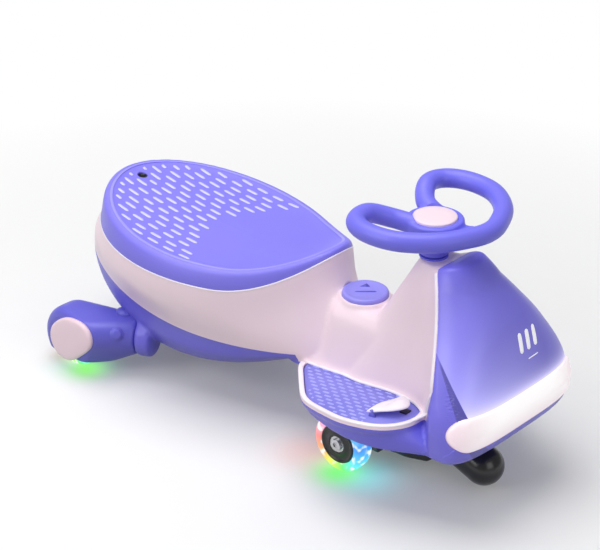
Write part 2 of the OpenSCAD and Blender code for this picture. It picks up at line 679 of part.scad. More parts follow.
module front_wheel_spacers() {
  color(steel) for (side = [-1, 1]) across_y(front_axle_x, beam_half + seat_gap, wheel_r, side) difference() {
    cylinder(r = 7, h = front_track - bearing_out - beam_half - 0.4, $fn = 48);
    translate([0, 0, -1]) cylinder(r = axle_r + seat_gap, h = 20, $fn = 48);
  }
}
module roller_pin() {
  color(steel) translate([roller_x, 0, roller_z]) rotate([90, 0, 0])
    cylinder(r = roller_pin_r, h = 2 * nose_r - 16, center = true, $fn = 48);
}
module anti_tip_roller() {
  color("#333333") translate([roller_x, 0, roller_z]) rotate([90, 0, 0]) rotate_extrude($fn = 64) polygon([
    [roller_pin_r + run_fit, -roller_w / 2], [roller_r - 2, -roller_w / 2], [roller_r, -roller_w / 2 + 2],
    [roller_r, roller_w / 2 - 2], [roller_r - 2, roller_w / 2], [roller_pin_r + run_fit, roller_w / 2]]);
}

// Road wheel about its own axis, with z outward
bearing_r = 11;
bearing_w = 7;
bearing_out = 12.5;
bead_pitch_r = 33.4;
bead_l = 17;
module tyre() {
  h = wheel_w / 2;
  edge = [[rim_seat_r, h - 1.5], [rim_seat_r + 5, h], [wheel_r - 4, h - 1], [wheel_r - 1, h - 5],
    [wheel_r, h - 9]];
  color("#dff3ff") difference() {
    rotate_extrude($fn = 96)
      polygon(concat([for (p = edge) [p[0], -p[1]]], [for (k = [len(edge) - 1:-1:0]) edge[k]]));
    for (k = [1:bead_count]) rotate(360 * k / bead_count) translate([bead_pitch_r, 0, h - bead_l])
      cylinder(r = bead_r + seat_gap, h = bead_l + 1, $fn = 24);
  }
}
module beads() {
  color("#7fd8ff") for (k = [1:bead_count]) rotate(360 * k / bead_count)
    translate([bead_pitch_r, 0, wheel_w / 2 - bead_l + seat_gap])
      cylinder(r = bead_r, h = bead_l - 1, $fn = 24);
}
module hub() {
  h = wheel_w / 2;
  seat = bearing_r + seat_gap;
  web = bearing_out - bearing_w;
  color(black) rotate_extrude($fn = 96) polygon([[axle_r + 2, -web], [seat, -web], [seat, -bearing_out],
    [rim_seat_r - seat_gap, -h + 2], [rim_seat_r - seat_gap, h - 2], [rim_seat_r - 3, h + 0.5],
    [seat, h - 0.5], [seat, web], [axle_r + 2, web]]);
}
module bearings() {
  color(steel) for (z = [-bearing_out, bearing_out - bearing_w]) translate([0, 0, z]) difference() {
    cylinder(r = bearing_r, h = bearing_w, $fn = 64);
    translate([0, 0, -1]) cylinder(r = axle_r + run_fit, h = bearing_w + 2, $fn = 64);
  }
}
module at_front(side) { across_y(front_axle_x, front_track, wheel_r, side) children(); }
module at_rear(side) { across_y(rear_axle_x, rear_track, wheel_r, side) children(); }

// Rear leg: a pod over the wheel, open below, that plugs into the lower shell's socket
pod_r = 48;
pod_z = 43;
pod_in = 24;
pod_out = 26;
pod_round = 12;
pod_open_z = 22;
wheel_room = 2.5;
neck_r = 27;
// Discs of the wheel cover's outline, from the axle's place: forward, height, radius
cover_discs = [[2, 45, 28], [18, 58, 27], [39, 66, 20]];
module rear_pod(side) {
  difference() {
    hull() {
      across_y(rear_axle_x, rear_track, pod_z, side) {
        translate([0, 0, -pod_in + pod_round])
          cylinder(r = pod_r, h = pod_in + pod_out - 2 * pod_round, $fn = 32);
        translate([0, 0, -pod_in]) cylinder(r = pod_r - pod_round, h = pod_in + pod_out, $fn = 32);
      }
      for (d = cover_discs) across_y(rear_axle_x + d[0], rear_track, d[1], side)
        translate([0, 0, pod_out - 4]) cylinder(r = d[2] + 2, h = 4, $fn = 32);
      at_leg(side) translate([0, 0, seat_gap]) cylinder(r = neck_r, h = 8, $fn = 32);
    }
    across_y(rear_axle_x, rear_track, wheel_r, side) {
      cylinder(r = wheel_r + wheel_room, h = wheel_w + 2 * wheel_room, center = true, $fn = 64);
      cylinder(r = axle_r + seat_gap, h = far / 4, center = true, $fn = 48);
    }
    translate([rear_axle_x - pod_r - 1, side * rear_track - 50, pod_open_z - far / 10])
      cube([far / 5, 100, far / 10]);
    skin(tub_rings(-parting));
  }
}
module rear_leg(side) {
  color(purple) difference() {
    union() {
      rear_pod(side);
      at_leg(side) translate([0, 0, -plug_l + seat_gap]) cylinder(r = plug_r, h = plug_l + 4, $fn = 48);
    }
    at_leg(side) translate([0, 0, -plug_l / 2]) rotate([0, -90, 0])
      cylinder(r = screw_r + seat_gap, h = plug_r + 2, $fn = 32);
    if (side < 0) at_leg(side) translate([0, 0, -plug_l - 1])
      cylinder(r = motor_r + seat_gap, h = motor_l + plug_l, $fn = 48);
  }
}
module rear_leg_left() { rear_leg(1); }
module rear_leg_right() { rear_leg(-1); }

// Screw up into each leg's plug through the socket's underside
screw_r = 2.5;
module leg_bolts() {
  color(steel) for (side = [-1, 1]) at_leg(side) translate([0, 0, -plug_l / 2]) rotate([0, -90, 0])
    translate([0, 0, motor_r + 1]) {
      cylinder(r = screw_r, h = socket_r - sunk - motor_r, $fn = 32);
      translate([0, 0, socket_r - sunk - motor_r - 1 + seat_gap]) cylinder(r = leg_head_r, h = 3, $fn = 32);
    }
}

// Sealed drive unit in the right leg
motor_r = 13;
motor_l = 34;
module drive_gearmotor() {
  color(steel) at_leg(-1) translate([0, 0, -plug_l + 2])
    cylinder(r = motor_r, h = motor_l + plug_l - 6, $fn = 64);
}

// Round cornered cover over a rear wheel's axle end
cover_t = 7;
module wheel_cover(side) {
  color(pink) hull() for (d = cover_discs)
    across_y(rear_axle_x + d[0], rear_track + pod_out + seat_gap, d[1], side) {
      cylinder(r = d[2], h = cover_t - 3, $fn = 32);
      cylinder(r = d[2] - 4, h = cover_t, $fn = 32);
    }
}
module wheel_cover_left() { wheel_cover(1); }
module wheel_cover_right() { wheel_cover(-1); }
module rear_axles() {
  color(steel) for (side = [-1, 1]) across_y(rear_axle_x, rear_track, wheel_r, side)
    translate([0, 0, -pod_in + 1]) cylinder(r = axle_r, h = pod_in + pod_out - 1.5, $fn = 48);
}

// Battery behind a hatch in the belly, with the board on top of it
hatch_edge = 12;
hatch_t = 3;
hatch_top_z = belly_z - 0.3;
hatch_screws = [for (sx = [-1, 1], sy = [-1, 1])
  [hatch_x + sx * (hatch_l / 2 + hatch_edge / 2), sy * (hatch_w / 2 - 6)]];
module battery_cover() {
  color(purple) difference() {
    translate([hatch_x - hatch_l / 2 - hatch_edge, -hatch_w / 2 - hatch_edge, hatch_top_z - hatch_t])
      cube([hatch_l + 2 * hatch_edge, hatch_w + 2 * hatch_edge, hatch_t]);
    for (p = hatch_screws) translate([p.x, p.y, 0]) cylinder(r = screw_r + seat_gap, h = far / 10, $fn = 32);
  }
}
module battery_cover_screws() {
  color(steel) for (p = hatch_screws) translate([p.x, p.y, hatch_top_z - hatch_t - seat_gap]) {
    translate([0, 0, -2]) cylinder(r = 4.5, h = 2, $fn = 32);
    cylinder(r = screw_r, h = 16, $fn = 32);
  }
}
battery_h = 44;
module battery_pack() {
  color("#2f5f9f") translate([hatch_x - hatch_l / 2 + 2, -hatch_w / 2 + 2, hatch_top_z + seat_gap])
    cube([hatch_l - 4, hatch_w - 4, battery_h]);
}
module control_board() {
  board_z = hatch_top_z + battery_h + 2 * seat_gap;
  color("darkgreen") translate([hatch_x - hatch_l / 2 + 12, -hatch_w / 2 + 8, board_z]) {
    cube([hatch_l - 24, hatch_w - 16, board_t]);
    translate([10, 10, board_t]) cube([16, 12, 6]);
  }
}
module speaker() {
  color(black) translate([button_x + 18, 0, skirt_z + wall + seat_gap]) {
    cylinder(r = 20, h = 4, $fn = 48);
    translate([0, 0, 4]) cylinder(r = 12, h = 8, $fn = 48);
  }
}

// Charging inlet in the left side of the belly: a round socket with a centre pin
inlet_y = 86;
inlet_flange = 3;
module charging_inlet() {
  color(black) translate([inlet_x, inlet_y, inlet_z]) rotate([-90, 0, 0]) {
    difference() {
      union() {
        translate([0, 0, -22]) cylinder(r = inlet_r, h = 22, $fn = 48);
        cylinder(r = inlet_r + inlet_flange, h = 4, $fn = 48);
      }
      translate([0, 0, -14]) cylinder(r = 2.8, h = 17, $fn = 48);
    }
    translate([0, 0, -15]) cylinder(r = 1.05, h = 13, $fn = 32);
  }
}

module front_tyre_left() { at_front(1) tyre(); }
module front_hub_left() { at_front(1) hub(); }
module front_beads_left() { at_front(1) beads(); }
module front_bearings_left() { at_front(1) bearings(); }
module front_tyre_right() { at_front(-1) tyre(); }
module front_hub_right() { at_front(-1) hub(); }
module front_beads_right() { at_front(-1) beads(); }
module front_bearings_right() { at_front(-1) bearings(); }
module rear_tyre_left() { at_rear(1) tyre(); }
module rear_hub_left() { at_rear(1) hub(); }
module rear_beads_left() { at_rear(1) beads(); }
module rear_bearings_left() { at_rear(1) bearings(); }
module rear_tyre_right() { at_rear(-1) tyre(); }
module rear_hub_right() { at_rear(-1) hub(); }
module rear_beads_right() { at_rear(-1) beads(); }
module rear_bearings_right() { at_rear(-1) bearings(); }

upper_shell();
lower_shell();
seat_cover();
strap_eyelet();
front_cowl();
headlight_lens();
headlight_board();
footrest_pad_left();
footrest_pad_right();
upper_steering_bush();
lower_steering_bush();
battery_pack();
battery_cover();
battery_cover_screws();
control_board();
speaker();
charging_inlet();
rear_leg_left();
rear_leg_right();
leg_bolts();
wheel_cover_left();
wheel_cover_right();
rear_axles();
drive_gearmotor();
pedal_pin();
pedal_switch();
steering_wheel();
steering_shaft();
steering_wheel_bolt();
horn_board();
front_yoke();
thrust_washer();
yoke_bolt();
front_axle();
front_wheel_bolts();
front_wheel_spacers();
roller_pin();
anti_tip_roller();
horn_button();
start_button();
foot_pedal();
front_tyre_left();
front_hub_left();
front_beads_left();
front_bearings_left();
front_tyre_right();
front_hub_right();
front_beads_right();
front_bearings_right();
rear_tyre_left();
rear_hub_left();
rear_beads_left();
rear_bearings_left();
rear_tyre_right();
rear_hub_right();
rear_beads_right();
rear_bearings_right();
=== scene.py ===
import json
import math

import bmesh
import bpy
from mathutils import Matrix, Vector
from mathutils.bvhtree import BVHTree


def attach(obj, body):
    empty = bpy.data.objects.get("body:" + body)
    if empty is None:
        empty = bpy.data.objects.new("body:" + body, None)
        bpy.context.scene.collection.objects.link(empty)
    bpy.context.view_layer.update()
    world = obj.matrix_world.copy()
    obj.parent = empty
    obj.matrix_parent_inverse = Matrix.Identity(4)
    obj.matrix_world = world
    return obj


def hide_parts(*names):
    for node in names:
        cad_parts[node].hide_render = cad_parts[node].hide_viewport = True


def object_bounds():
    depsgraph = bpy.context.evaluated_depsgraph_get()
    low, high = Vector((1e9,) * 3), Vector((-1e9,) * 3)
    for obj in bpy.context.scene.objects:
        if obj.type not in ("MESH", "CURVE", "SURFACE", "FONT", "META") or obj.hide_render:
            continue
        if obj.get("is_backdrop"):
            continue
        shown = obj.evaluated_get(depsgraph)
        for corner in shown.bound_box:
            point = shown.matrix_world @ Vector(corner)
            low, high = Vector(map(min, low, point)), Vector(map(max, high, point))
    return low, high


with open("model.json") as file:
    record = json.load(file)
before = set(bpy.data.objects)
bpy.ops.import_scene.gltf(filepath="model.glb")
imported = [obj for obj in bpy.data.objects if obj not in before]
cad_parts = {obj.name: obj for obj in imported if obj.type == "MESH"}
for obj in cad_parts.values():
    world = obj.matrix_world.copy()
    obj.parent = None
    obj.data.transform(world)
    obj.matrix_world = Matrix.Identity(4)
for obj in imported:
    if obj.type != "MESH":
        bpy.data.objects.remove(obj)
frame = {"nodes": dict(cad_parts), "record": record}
cad_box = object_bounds()

# The lower shell is the purple belly with the skirts below both footrests and two sockets for the rear
# legs; it is screwed up against the upper shell. Both shells, the seat and the cowl share one flowing
# outer form, so that form is lofted first, in millimetres, and each piece is parted from it.
MM = 0.001
SADDLE_X = -60
SEAT_REAR, SEAT_TIP, SEAT_HALF = -341, 72, 135
SEAT_NOSE, SEAT_BLUNT, SEAT_TAPER, BELLY_TAPER = SEAT_TIP - 7, 0.53, 0.68, 0.72
SEAM_REAR, SEAM_HALF, NECK_X = SEAT_REAR - 23, 109, SEAT_TIP + 10
SHOULDER_INSET, SEAT_DISH = 13, 3
DECK_Z, FOOT_Z, FOOT_REAR, FOOT_SLOPE = 199, 115, 77, math.radians(7)
LIP_H, SKIRT_Z, COLUMN_Z, STEER_X = 8, 98, 296, 214


def bowl(x, x_low, z_low, rear, front):
    """A height that is lowest at x_low and rises as a square to both ends."""
    return z_low + (rear if x < x_low else front) * (x - x_low) ** 2


def lip_at(x):
    return bowl(x, SADDLE_X, 195, 2.6e-4, 3.5e-3)


def shoulder_at(x):
    return bowl(x, SADDLE_X, 221, 4.3e-4, 2.5e-3)


def seam_at(x):
    return bowl(x, -90, 108, 7.6e-4, 5e-4)


def belly_at(x):
    return bowl(x, -165, 46, 2.2e-3, 1.3e-3)


def foot_at(x):
    return FOOT_Z + (x - FOOT_REAR) * math.tan(FOOT_SLOPE)


def spline(points, steps):
    """A smooth run of points through the given ones."""
    rows = [Vector(p) for p in points]
    run = []
    for k in range(len(rows) - 1):
        a, b = rows[max(k - 1, 0)], rows[k]
        c, d = rows[k + 1], rows[min(k + 2, len(rows) - 1)]
        for s in range(steps):
            t = s / steps
            run.append(0.5 * (2 * b + (c - a) * t + (2 * a - 5 * b + 4 * c - d) * t * t
                              + (3 * b - a - 3 * c + d) * t ** 3))
    return run + [rows[-1]]


def graded(table):
    """A smooth function through a table of height and value."""
    run = spline(table, 12)

    def value(z):
        if z <= run[0][0]:
            return run[0][1]
        for low, high in zip(run, run[1:]):
            if z <= high[0]:
                return low[1] + (high[1] - low[1]) * (z - low[0]) / (high[0] - low[0])
        return run[-1][1]

    return value


def teardrop(x0, x1, half, rise, fall, n=144):
    """A teardrop outline between two places on X, as x and y."""
    outline = []
    for i in range(n):
        turn = math.tau * i / n
        s = (1 - math.cos(turn)) / 2
        swell = (s * (rise + fall) / rise) ** rise
        blunt_tip = 0.15 * s ** 16
        y = half * swell * ((1 - s) * (rise + fall) / fall) ** (fall - blunt_tip)
        outline.append((x0 + (x1 - x0) * s, -y if turn <= math.pi else y))
    return outline


def seat_ring(inset, height, grow=0):
    """A level of the seat, drawn in from its lower edge by inset."""
    outline = teardrop(SEAT_REAR + inset - grow, SEAT_NOSE - 0.8 * inset + grow, SEAT_HALF - inset + grow,
                       SEAT_BLUNT, SEAT_TAPER)
    return [(x, y, height(x)) for x, y in outline]


def belly_ring(x0, x1, half, height, blunt=0.4):
    """A level of the belly below the seat."""
    return [(x, y, height(x)) for x, y in teardrop(x0, x1, half, blunt, BELLY_TAPER)]


def tub_rings(i):
    """Seat and belly from the dish down to the underside, shrunk by i."""
    def dish(share):
        return lambda x: shoulder_at(x) - SEAT_DISH * share - i

    def between(x, t):
        return lip_at(x) * (1 - t) + shoulder_at(x) * t

    return [
        seat_ring(SEAT_HALF - 1 - i, dish(1), -i),
        seat_ring(62, dish(1), -i),
        seat_ring(30, dish(0.8), -i),
        seat_ring(SHOULDER_INSET + 6, dish(0.2), -i),
        seat_ring(SHOULDER_INSET, dish(0), -i),
        seat_ring(SHOULDER_INSET * 0.45, lambda x: between(x, 0.84) - 0.4 * i, -i),
        seat_ring(0, lip_at, -i),
        belly_ring(SEAT_REAR - 15 + i, NECK_X - i, SEAT_HALF - 2 - i,
                   lambda x: lip_at(x) * 0.55 + seam_at(x) * 0.45, 0.52),
        belly_ring(SEAM_REAR + i, NECK_X + 61 - i, SEAM_HALF - i, seam_at),
        belly_ring(SEAM_REAR + 5 + i, NECK_X + 38 - i, SEAM_HALF - 5 - i,
                   lambda x: (seam_at(x) + belly_at(x)) / 2 + i),
        belly_ring(SEAM_REAR + 22 + i, NECK_X + 22 - i, SEAM_HALF - 24 - i,
                   lambda x: min(belly_at(x) + 8, seam_at(x) - 6) + i),
        belly_ring(SEAM_REAR + 48 + i, NECK_X + 8 - i, SEAM_HALF - 51 - i,
                   lambda x: min(belly_at(x), seam_at(x) - 8) + i),
    ]


def mirrored(half):
    """A closed ring from its right half, whose first and last points lie on the middle plane."""
    return [(x, -y, z) for x, y, z in half] + [(x, y, z) for x, y, z in half[-2:0:-1]]


def deck_ring(x, i):
    """A section of the deck between the seat's nose and the column."""
    base = 56 + 8 * min(1, max(0, (x - 50) / 60)) - i
    top = DECK_Z - i
    half = 38 * min(1, max(0.35, (x - 30) / 60)) - i
    profile = [(0, top), (half - 10, top - 1), (half, top - 7), (half + 8, top - 22), (base - 6, FOOT_Z + 12),
               (base, FOOT_Z), (base, SKIRT_Z + i), (0, SKIRT_Z + i)]
    return mirrored([(x, y, z) for y, z in spline(profile, 4)])


rear_half_at = graded([(98, 70), (122, 66), (160, 53), (205, 39), (250, 31), (297, 25)])
edge_x_at = graded([(98, 309), (149, 309), (186, 303), (230, 287), (257, 273), (284, 257), (300, 247),
                    (316, 240)])
edge_half_at = graded([(98, 114), (110, 119), (149, 122), (186, 108), (230, 83), (257, 64), (284, 45),
                       (300, 31), (316, 18)])
front_at = graded([(98, 350), (110, 359), (128, 364), (142, 365), (165, 361), (205, 351), (250, 333),
                   (285, 305), (304, 283), (316, 264)])
bend_at = graded([(120, 0.52), (230, 0.74), (300, 0.88)])
flank_at = graded([(120, 0.0), (200, 0.16)])
cheek_at = graded([(120, 0.27), (200, 0.52)])


def tower_ring(z, i, rise=0, pull=0):
    """A level outline from the column's rear face round to the cowl's front, drawn back there by pull."""
    rear, side = 146 + (z - 205) * 0.6 + i, rear_half_at(z) - i
    edge, wide, nose, bend = edge_x_at(z), edge_half_at(z) - i, front_at(z) - i - pull, bend_at(z)
    flank = spline([(rear, 0), (rear + 0.2 * side, 0.62 * side), (rear + 0.7 * side, 0.97 * side),
                    ((rear + edge) / 2 + 8, side + flank_at(z) * (wide - side)),
                    (0.8 * edge + 0.2 * rear, side + cheek_at(z) * (wide - side)), (edge, wide)], 5)
    front = [(edge + (nose - edge) * math.sin(a) ** bend, wide * max(math.cos(a), 0) ** bend)
             for a in (math.radians(4.5 * k) for k in range(1, 21))]
    half = [tuple(p) for p in flank] + front
    return mirrored([(x, y, z + rise * min(1, max(0, (x - STEER_X - 20) / 30))) for x, y in half])


def loft(rings, lid=True):
    """Points and faces of a closed skin over rings of equal length."""
    n = len(rings[0])
    points = [tuple(p) for ring in rings for p in ring]
    faces = [(k * n + j, k * n + (j + 1) % n, (k + 1) * n + (j + 1) % n, (k + 1) * n + j)
             for k in range(len(rings) - 1) for j in range(n)]
    if lid:
        faces += [tuple(range(n - 1, -1, -1)), tuple(range((len(rings) - 1) * n, len(rings) * n))]
    return points, faces


def finer(rings, steps):
    """Rings with smooth extra ones between them."""
    lines = [spline(line, steps) for line in zip(*rings)]
    return list(zip(*lines))


def hulled(points):
    """The convex skin round points."""
    work = bmesh.new()
    for p in points:
        work.verts.new(p)
    bmesh.ops.convex_hull(work, input=work.verts)
    bmesh.ops.delete(work, geom=[v for v in work.verts if not v.link_faces], context="VERTS")
    work.verts.index_update()
    skin = [tuple(v.co) for v in work.verts], [tuple(v.index for v in f.verts) for f in work.faces]
    work.free()
    return skin


def solid(name, *shells):
    """A mesh object from one or more skins in millimetres, with all faces turned outward."""
    mesh = bpy.data.meshes.new(name)
    points, faces = [], []
    for shell_points, shell_faces in shells:
        start = len(points)
        points += [(x * MM, y * MM, z * MM) for x, y, z in shell_points]
        faces += [tuple(start + k for k in face) for face in shell_faces]
    mesh.from_pydata(points, [], faces)
    work = bmesh.new()
    work.from_mesh(mesh)
    bmesh.ops.recalc_face_normals(work, faces=work.faces)
    work.to_mesh(mesh)
    work.free()
    for face in mesh.polygons:
        face.use_smooth = True
    piece = bpy.data.objects.new(name, mesh)
    bpy.context.scene.collection.objects.link(piece)
    return piece


def on_foot(x, y, z):
    """A point of a footrest's own tilted frame, where z = 0 is the top of its lip."""
    run = x - FOOT_REAR
    return (FOOT_REAR + run * math.cos(FOOT_SLOPE) - z * math.sin(FOOT_SLOPE), y,
            FOOT_Z + run * math.sin(FOOT_SLOPE) + z * math.cos(FOOT_SLOPE))


def circle(r, n=64):
    return [(r * math.cos(math.tau * k / n), r * math.sin(math.tau * k / n)) for k in range(n)]


def outline_round(discs, inset, n=48):
    """The convex outline round discs of x, y and radius."""
    points = sorted((x + a, y + b) for x, y, r in discs for a, b in circle(r - inset, n))

    def chain(run):
        kept = []
        for p in run:
            while len(kept) > 1 and ((kept[-1][0] - kept[-2][0]) * (p[1] - kept[-2][1])
                                     - (kept[-1][1] - kept[-2][1]) * (p[0] - kept[-2][0])) <= 0:
                kept.pop()
            kept.append(p)
        return kept[:-1]

    return chain(points) + chain(points[::-1])


def even(outline, n):
    """A closed outline with n points at even distances."""
    loop = [Vector(p) for p in outline] + [Vector(outline[0])]
    lengths = [0.0]
    for a, b in zip(loop, loop[1:]):
        lengths.append(lengths[-1] + (b - a).length)
    run, k = [], 0
    for i in range(n):
        want = lengths[-1] * i / n
        while lengths[k + 1] < want:
            k += 1
        share = (want - lengths[k]) / max(lengths[k + 1] - lengths[k], 1e-9)
        run.append(tuple(loop[k].lerp(loop[k + 1], share)))
    return run


FOOT_DISCS = [(64, 62, 14), (152, 103, 48), (205, 108, 53), (236, 106, 50), (266, 113, 21.5)]
SKIRT_DISCS = FOOT_DISCS + [(318, 94, 22)]


def flowing(discs, inset, rounds, n=120):
    """The outline round discs as one flowing curve, with its corners eased."""
    loop = [Vector(p) for p in even(outline_round(discs, inset), n)]
    for _ in range(rounds):
        loop = [(loop[k - 1] + 2 * p + loop[(k + 1) % n]) / 4 for k, p in enumerate(loop)]
    return [tuple(p) for p in loop]


def foot_outline(inset, discs=FOOT_DISCS):
    """A footrest's outline, drawn in by inset."""
    return flowing(discs, inset, 16)


def foot_shells(side, i):
    """A footrest tray and the skirt below it."""
    tray = [(x, side * y) for x, y in foot_outline(i)]
    deep = -LIP_H - 3 + i
    yield loft([[on_foot(x, y, -i) for x, y in tray], [on_foot(x, y, deep) for x, y in tray]])
    rim = [on_foot(x, side * y, -LIP_H) for x, y in foot_outline(3 + i)]
    hem = [(x, side * y, SKIRT_Z + 3 + i) for x, y in foot_outline(6 + i, SKIRT_DISCS)]
    yield hulled(rim + hem)


def lathe(profile, place, n=64):
    """A turned skin: a profile of radius and height, with each point put in place."""
    return loft([[place(x, y, z) for x, y in circle(max(r, 0.01), n)] for r, z in profile])


def rod(r, low, high, place, n=64):
    """The skin of a plain round bar."""
    return lathe([(r, low), (r, high)], place, n)


def upright(x, y):
    return lambda a, b, c: (x + a, y + b, c)


LEG_ROOT, LEG_TURN = (-219, 94, 60), math.radians(25)
SOCKET = [(22, -24), (29, -20), (29, -3), (27.6, -1.5), (27.6, 0), (22, 0)]
PLUG_R, PLUG_L = 20, 20


def at_leg(side):
    """The frame of a rear leg: c runs out along the leg, a points up."""
    def place(a, b, c):
        return (LEG_ROOT[0] + side * b * math.sin(LEG_TURN) - c * math.cos(LEG_TURN),
                side * LEG_ROOT[1] + b * math.cos(LEG_TURN) + side * c * math.sin(LEG_TURN), LEG_ROOT[2] + a)
    return place


BUTTON_X, BOSS_Z = 106.6, 204
TOP_RISE, TOP_PULL, TOWER_STEPS, WALL = 11, 17, 44, 6


def walls(i):
    """The skins of the deck and of the tower that rises from it."""
    drop = COLUMN_Z - SKIRT_Z - 2 * i
    heights = [COLUMN_Z - i - k * drop / TOWER_STEPS for k in range(TOWER_STEPS + 1)]
    yield loft([deck_ring(x, i) for x in (30 + i, 45, 60, 75, 90, 105, 120, 135, 150, 165, 180 - i)])
    yield loft([tower_ring(z, i, TOP_RISE * max(0, 1 - k / 3), TOP_PULL * max(0, 1 - k / 4) ** 2)
                for k, z in enumerate(heights)])


def body_form(name, i):
    """The outer form of the whole body, shrunk by i; only the full form has the boss and the leg sockets."""
    shells = [loft(finer(tub_rings(i), 6)), *walls(i), *foot_shells(-1, i), *foot_shells(1, i)]
    if i == 0:
        shells.append(lathe([(40, 150), (36, 192), (33.5, 199), (33.5, BOSS_Z)], upright(BUTTON_X, 0)))
        shells += [lathe(SOCKET, at_leg(side)) for side in (-1, 1)]
    return solid(name, *shells)


def settled(piece, *modifiers):
    """The piece with modifiers applied; each is a type and its settings."""
    for kind, settings in modifiers:
        added = piece.modifiers.new(kind, kind)
        for key, value in settings.items():
            setattr(added, key, value)
    mesh = bpy.data.meshes.new_from_object(piece.evaluated_get(bpy.context.evaluated_depsgraph_get()))
    piece.modifiers.clear()
    piece.data = mesh
    return piece


def filleted(piece, voxel, rounds):
    """The piece with its shells run together and its edges softened."""
    return settled(piece, ("REMESH", {"mode": "VOXEL", "voxel_size": voxel * MM}),
                   ("SMOOTH", {"factor": 0.5, "iterations": rounds}))


def carved(piece, tool, how="DIFFERENCE"):
    """The piece without another, or kept within it."""
    return settled(piece, ("BOOLEAN", {"operation": how, "object": tool, "solver": "MANIFOLD"}))


def cut(piece, *shells, how="DIFFERENCE"):
    """The piece cut by, or kept within, each skin in turn."""
    for shell in shells:
        tool = solid("tool", shell)
        carved(piece, tool, how)
        bpy.data.objects.remove(tool)
    return piece


def slab(outline):
    """An upright slab right across the car over an outline in x and z."""
    return loft([[(x, y, z) for x, z in outline] for y in (-400, 400)])


form = filleted(body_form("form", 0), 2.4, 11)
core = filleted(body_form("core", WALL), 5, 0)
seat_line = [(x, lip_at(x)) for x in range(-400, 101, 5)]
shell_line = ([(x, seam_at(x)) for x in range(-400, 45, 4)] + [(x, foot_at(x) - 5) for x in range(46, 292, 5)]
              + [(303, 186), (320, 262)])
cowl_line = [(edge_x_at(98 + 6 * k), 98 + 6 * k) for k in range(37)]


def above(line, gap):
    """The space over a parting line."""
    return slab([(x, z + gap) for x, z in line] + [(line[-1][0], 900), (line[0][0], 900)])


def ahead(gap):
    """The space in front of the cowl's edge."""
    return slab([(309 + gap, -50)] + [(x + gap, z) for x, z in cowl_line]
                + [(242 + gap, 900), (900, 900), (900, -50)])


def parted(name, kept=None, taken=()):
    """A copy of the form within one space and without some others, hollowed."""
    piece = bpy.data.objects.new(name, form.data.copy())
    bpy.context.scene.collection.objects.link(piece)
    if kept:
        cut(piece, kept, how="INTERSECT")
    cut(piece, *taken)
    return carved(piece, core)


class Wire:
    """A shader socket that can stand in a sum like a number."""

    def __init__(self, socket):
        self.socket = socket

    def node(self, kind, settings=(), inputs=(), out=0):
        """Any other node: its settings first, then the values or links of its sockets."""
        tree = self.socket.id_data
        made = tree.nodes.new("ShaderNode" + kind)
        for key, value in dict(settings).items():
            if key == "stops":
                ramp = made.color_ramp.elements
                while len(ramp) < len(value):
                    ramp.new(0.5)
                for stop, (place, colour) in zip(ramp, value):
                    stop.position = place
                    stop.color = (*colour, 1)
            else:
                setattr(made, key, value)
        for key, value in dict(inputs).items():
            if isinstance(value, Wire):
                tree.links.new(value.socket, made.inputs[key])
            else:
                made.inputs[key].default_value = value
        return Wire(made.outputs[out])

    def math(self, how, a, b):
        return self.node("Math", {"operation": how}, {0: a, 1: b})

    def __add__(self, other):
        return self.math("ADD", self, other)

    def __sub__(self, other):
        return self.math("SUBTRACT", self, other)

    def __rsub__(self, other):
        return self.math("SUBTRACT", other, self)

    def __mul__(self, other):
        return self.math("MULTIPLY", self, other)

    def __truediv__(self, other):
        return self.math("DIVIDE", self, other)

    __radd__, __rmul__ = __add__, __mul__

    def between(self, low, high):
        """0 to 1 as the value goes from low to high."""
        return self.node("MapRange", {}, {0: self, 1: low, 2: high})

    def mixed(self, first, second):
        """A colour that goes from first to second as this goes from 0 to 1."""
        return self.node("Mix", {"data_type": "RGBA"}, {0: self, 6: first, 7: second}, 2)

    def noise(self, scale, detail=2.0):
        return self.node("TexNoise", {}, {"Vector": self, "Scale": scale, "Detail": detail})

    def bump(self, strength, distance):
        """A normal from this as a height."""
        return self.node("Bump", {}, {"Strength": strength, "Distance": distance, "Height": self})

    def axis(self, k):
        """One coordinate of a place."""
        return self.node("SeparateXYZ", {}, {0: self}, k)


def finish(name, **constants):
    """A new material, the place on the piece as a wire, and a function that feeds the shader's sockets."""
    material = bpy.data.materials.new(name)
    material.use_nodes = True
    tree = material.node_tree
    shader = tree.nodes["Principled BSDF"]

    def feed(**sockets):
        for key, value in sockets.items():
            socket = shader.inputs[key.replace("_", " ")]
            if isinstance(value, Wire):
                tree.links.new(value.socket, socket)
            else:
                socket.default_value = value

    feed(**constants)
    place = Wire(tree.nodes.new("ShaderNodeTexCoord").outputs["Object"])
    return material, place, feed


def moulded(name, colour, shade, rough, grain=0.05, glow=None, painted_shade=None, below=0.0):
    """Injection moulded plastic: faint flow clouds, painted shade on downward faces, and a fine spark-eroded
    grain.
    """
    material, place, feed = finish(name, Coat_Weight=0.12, Coat_Roughness=0.25,
                                   Emission_Strength=1.0 if glow else 0.0)
    cloud = place.noise(7, 3).between(0.3, 0.7)
    fine = place.noise(1400, 1)
    base = cloud.mixed((*shade, 1), (*colour, 1))
    # Painted shade: the colour darkens on faces that turn downward, by the share given as below.
    if below:
        tilt = Wire(place.socket.node.outputs["Normal"]).axis(2)
        base = (tilt.between(0.75, -0.5) * below).mixed(base, (*[0.35 * c for c in shade], 1))
    # Painted shade from a mask darkens the colour, as on the wall below each crease.
    if painted_shade:
        base = painted_shade(place).mixed(base, (*[0.3 * c for c in shade], 1))
    feed(Base_Color=base, Roughness=rough - 0.05 + 0.08 * place.noise(30) + 0.04 * fine,
         Normal=fine.bump(grain, 0.0004))
    # Painted light: a glow given here is emission on a surface that is no lamp.
    if glow:
        feed(Emission_Color=glow(place))
    return material


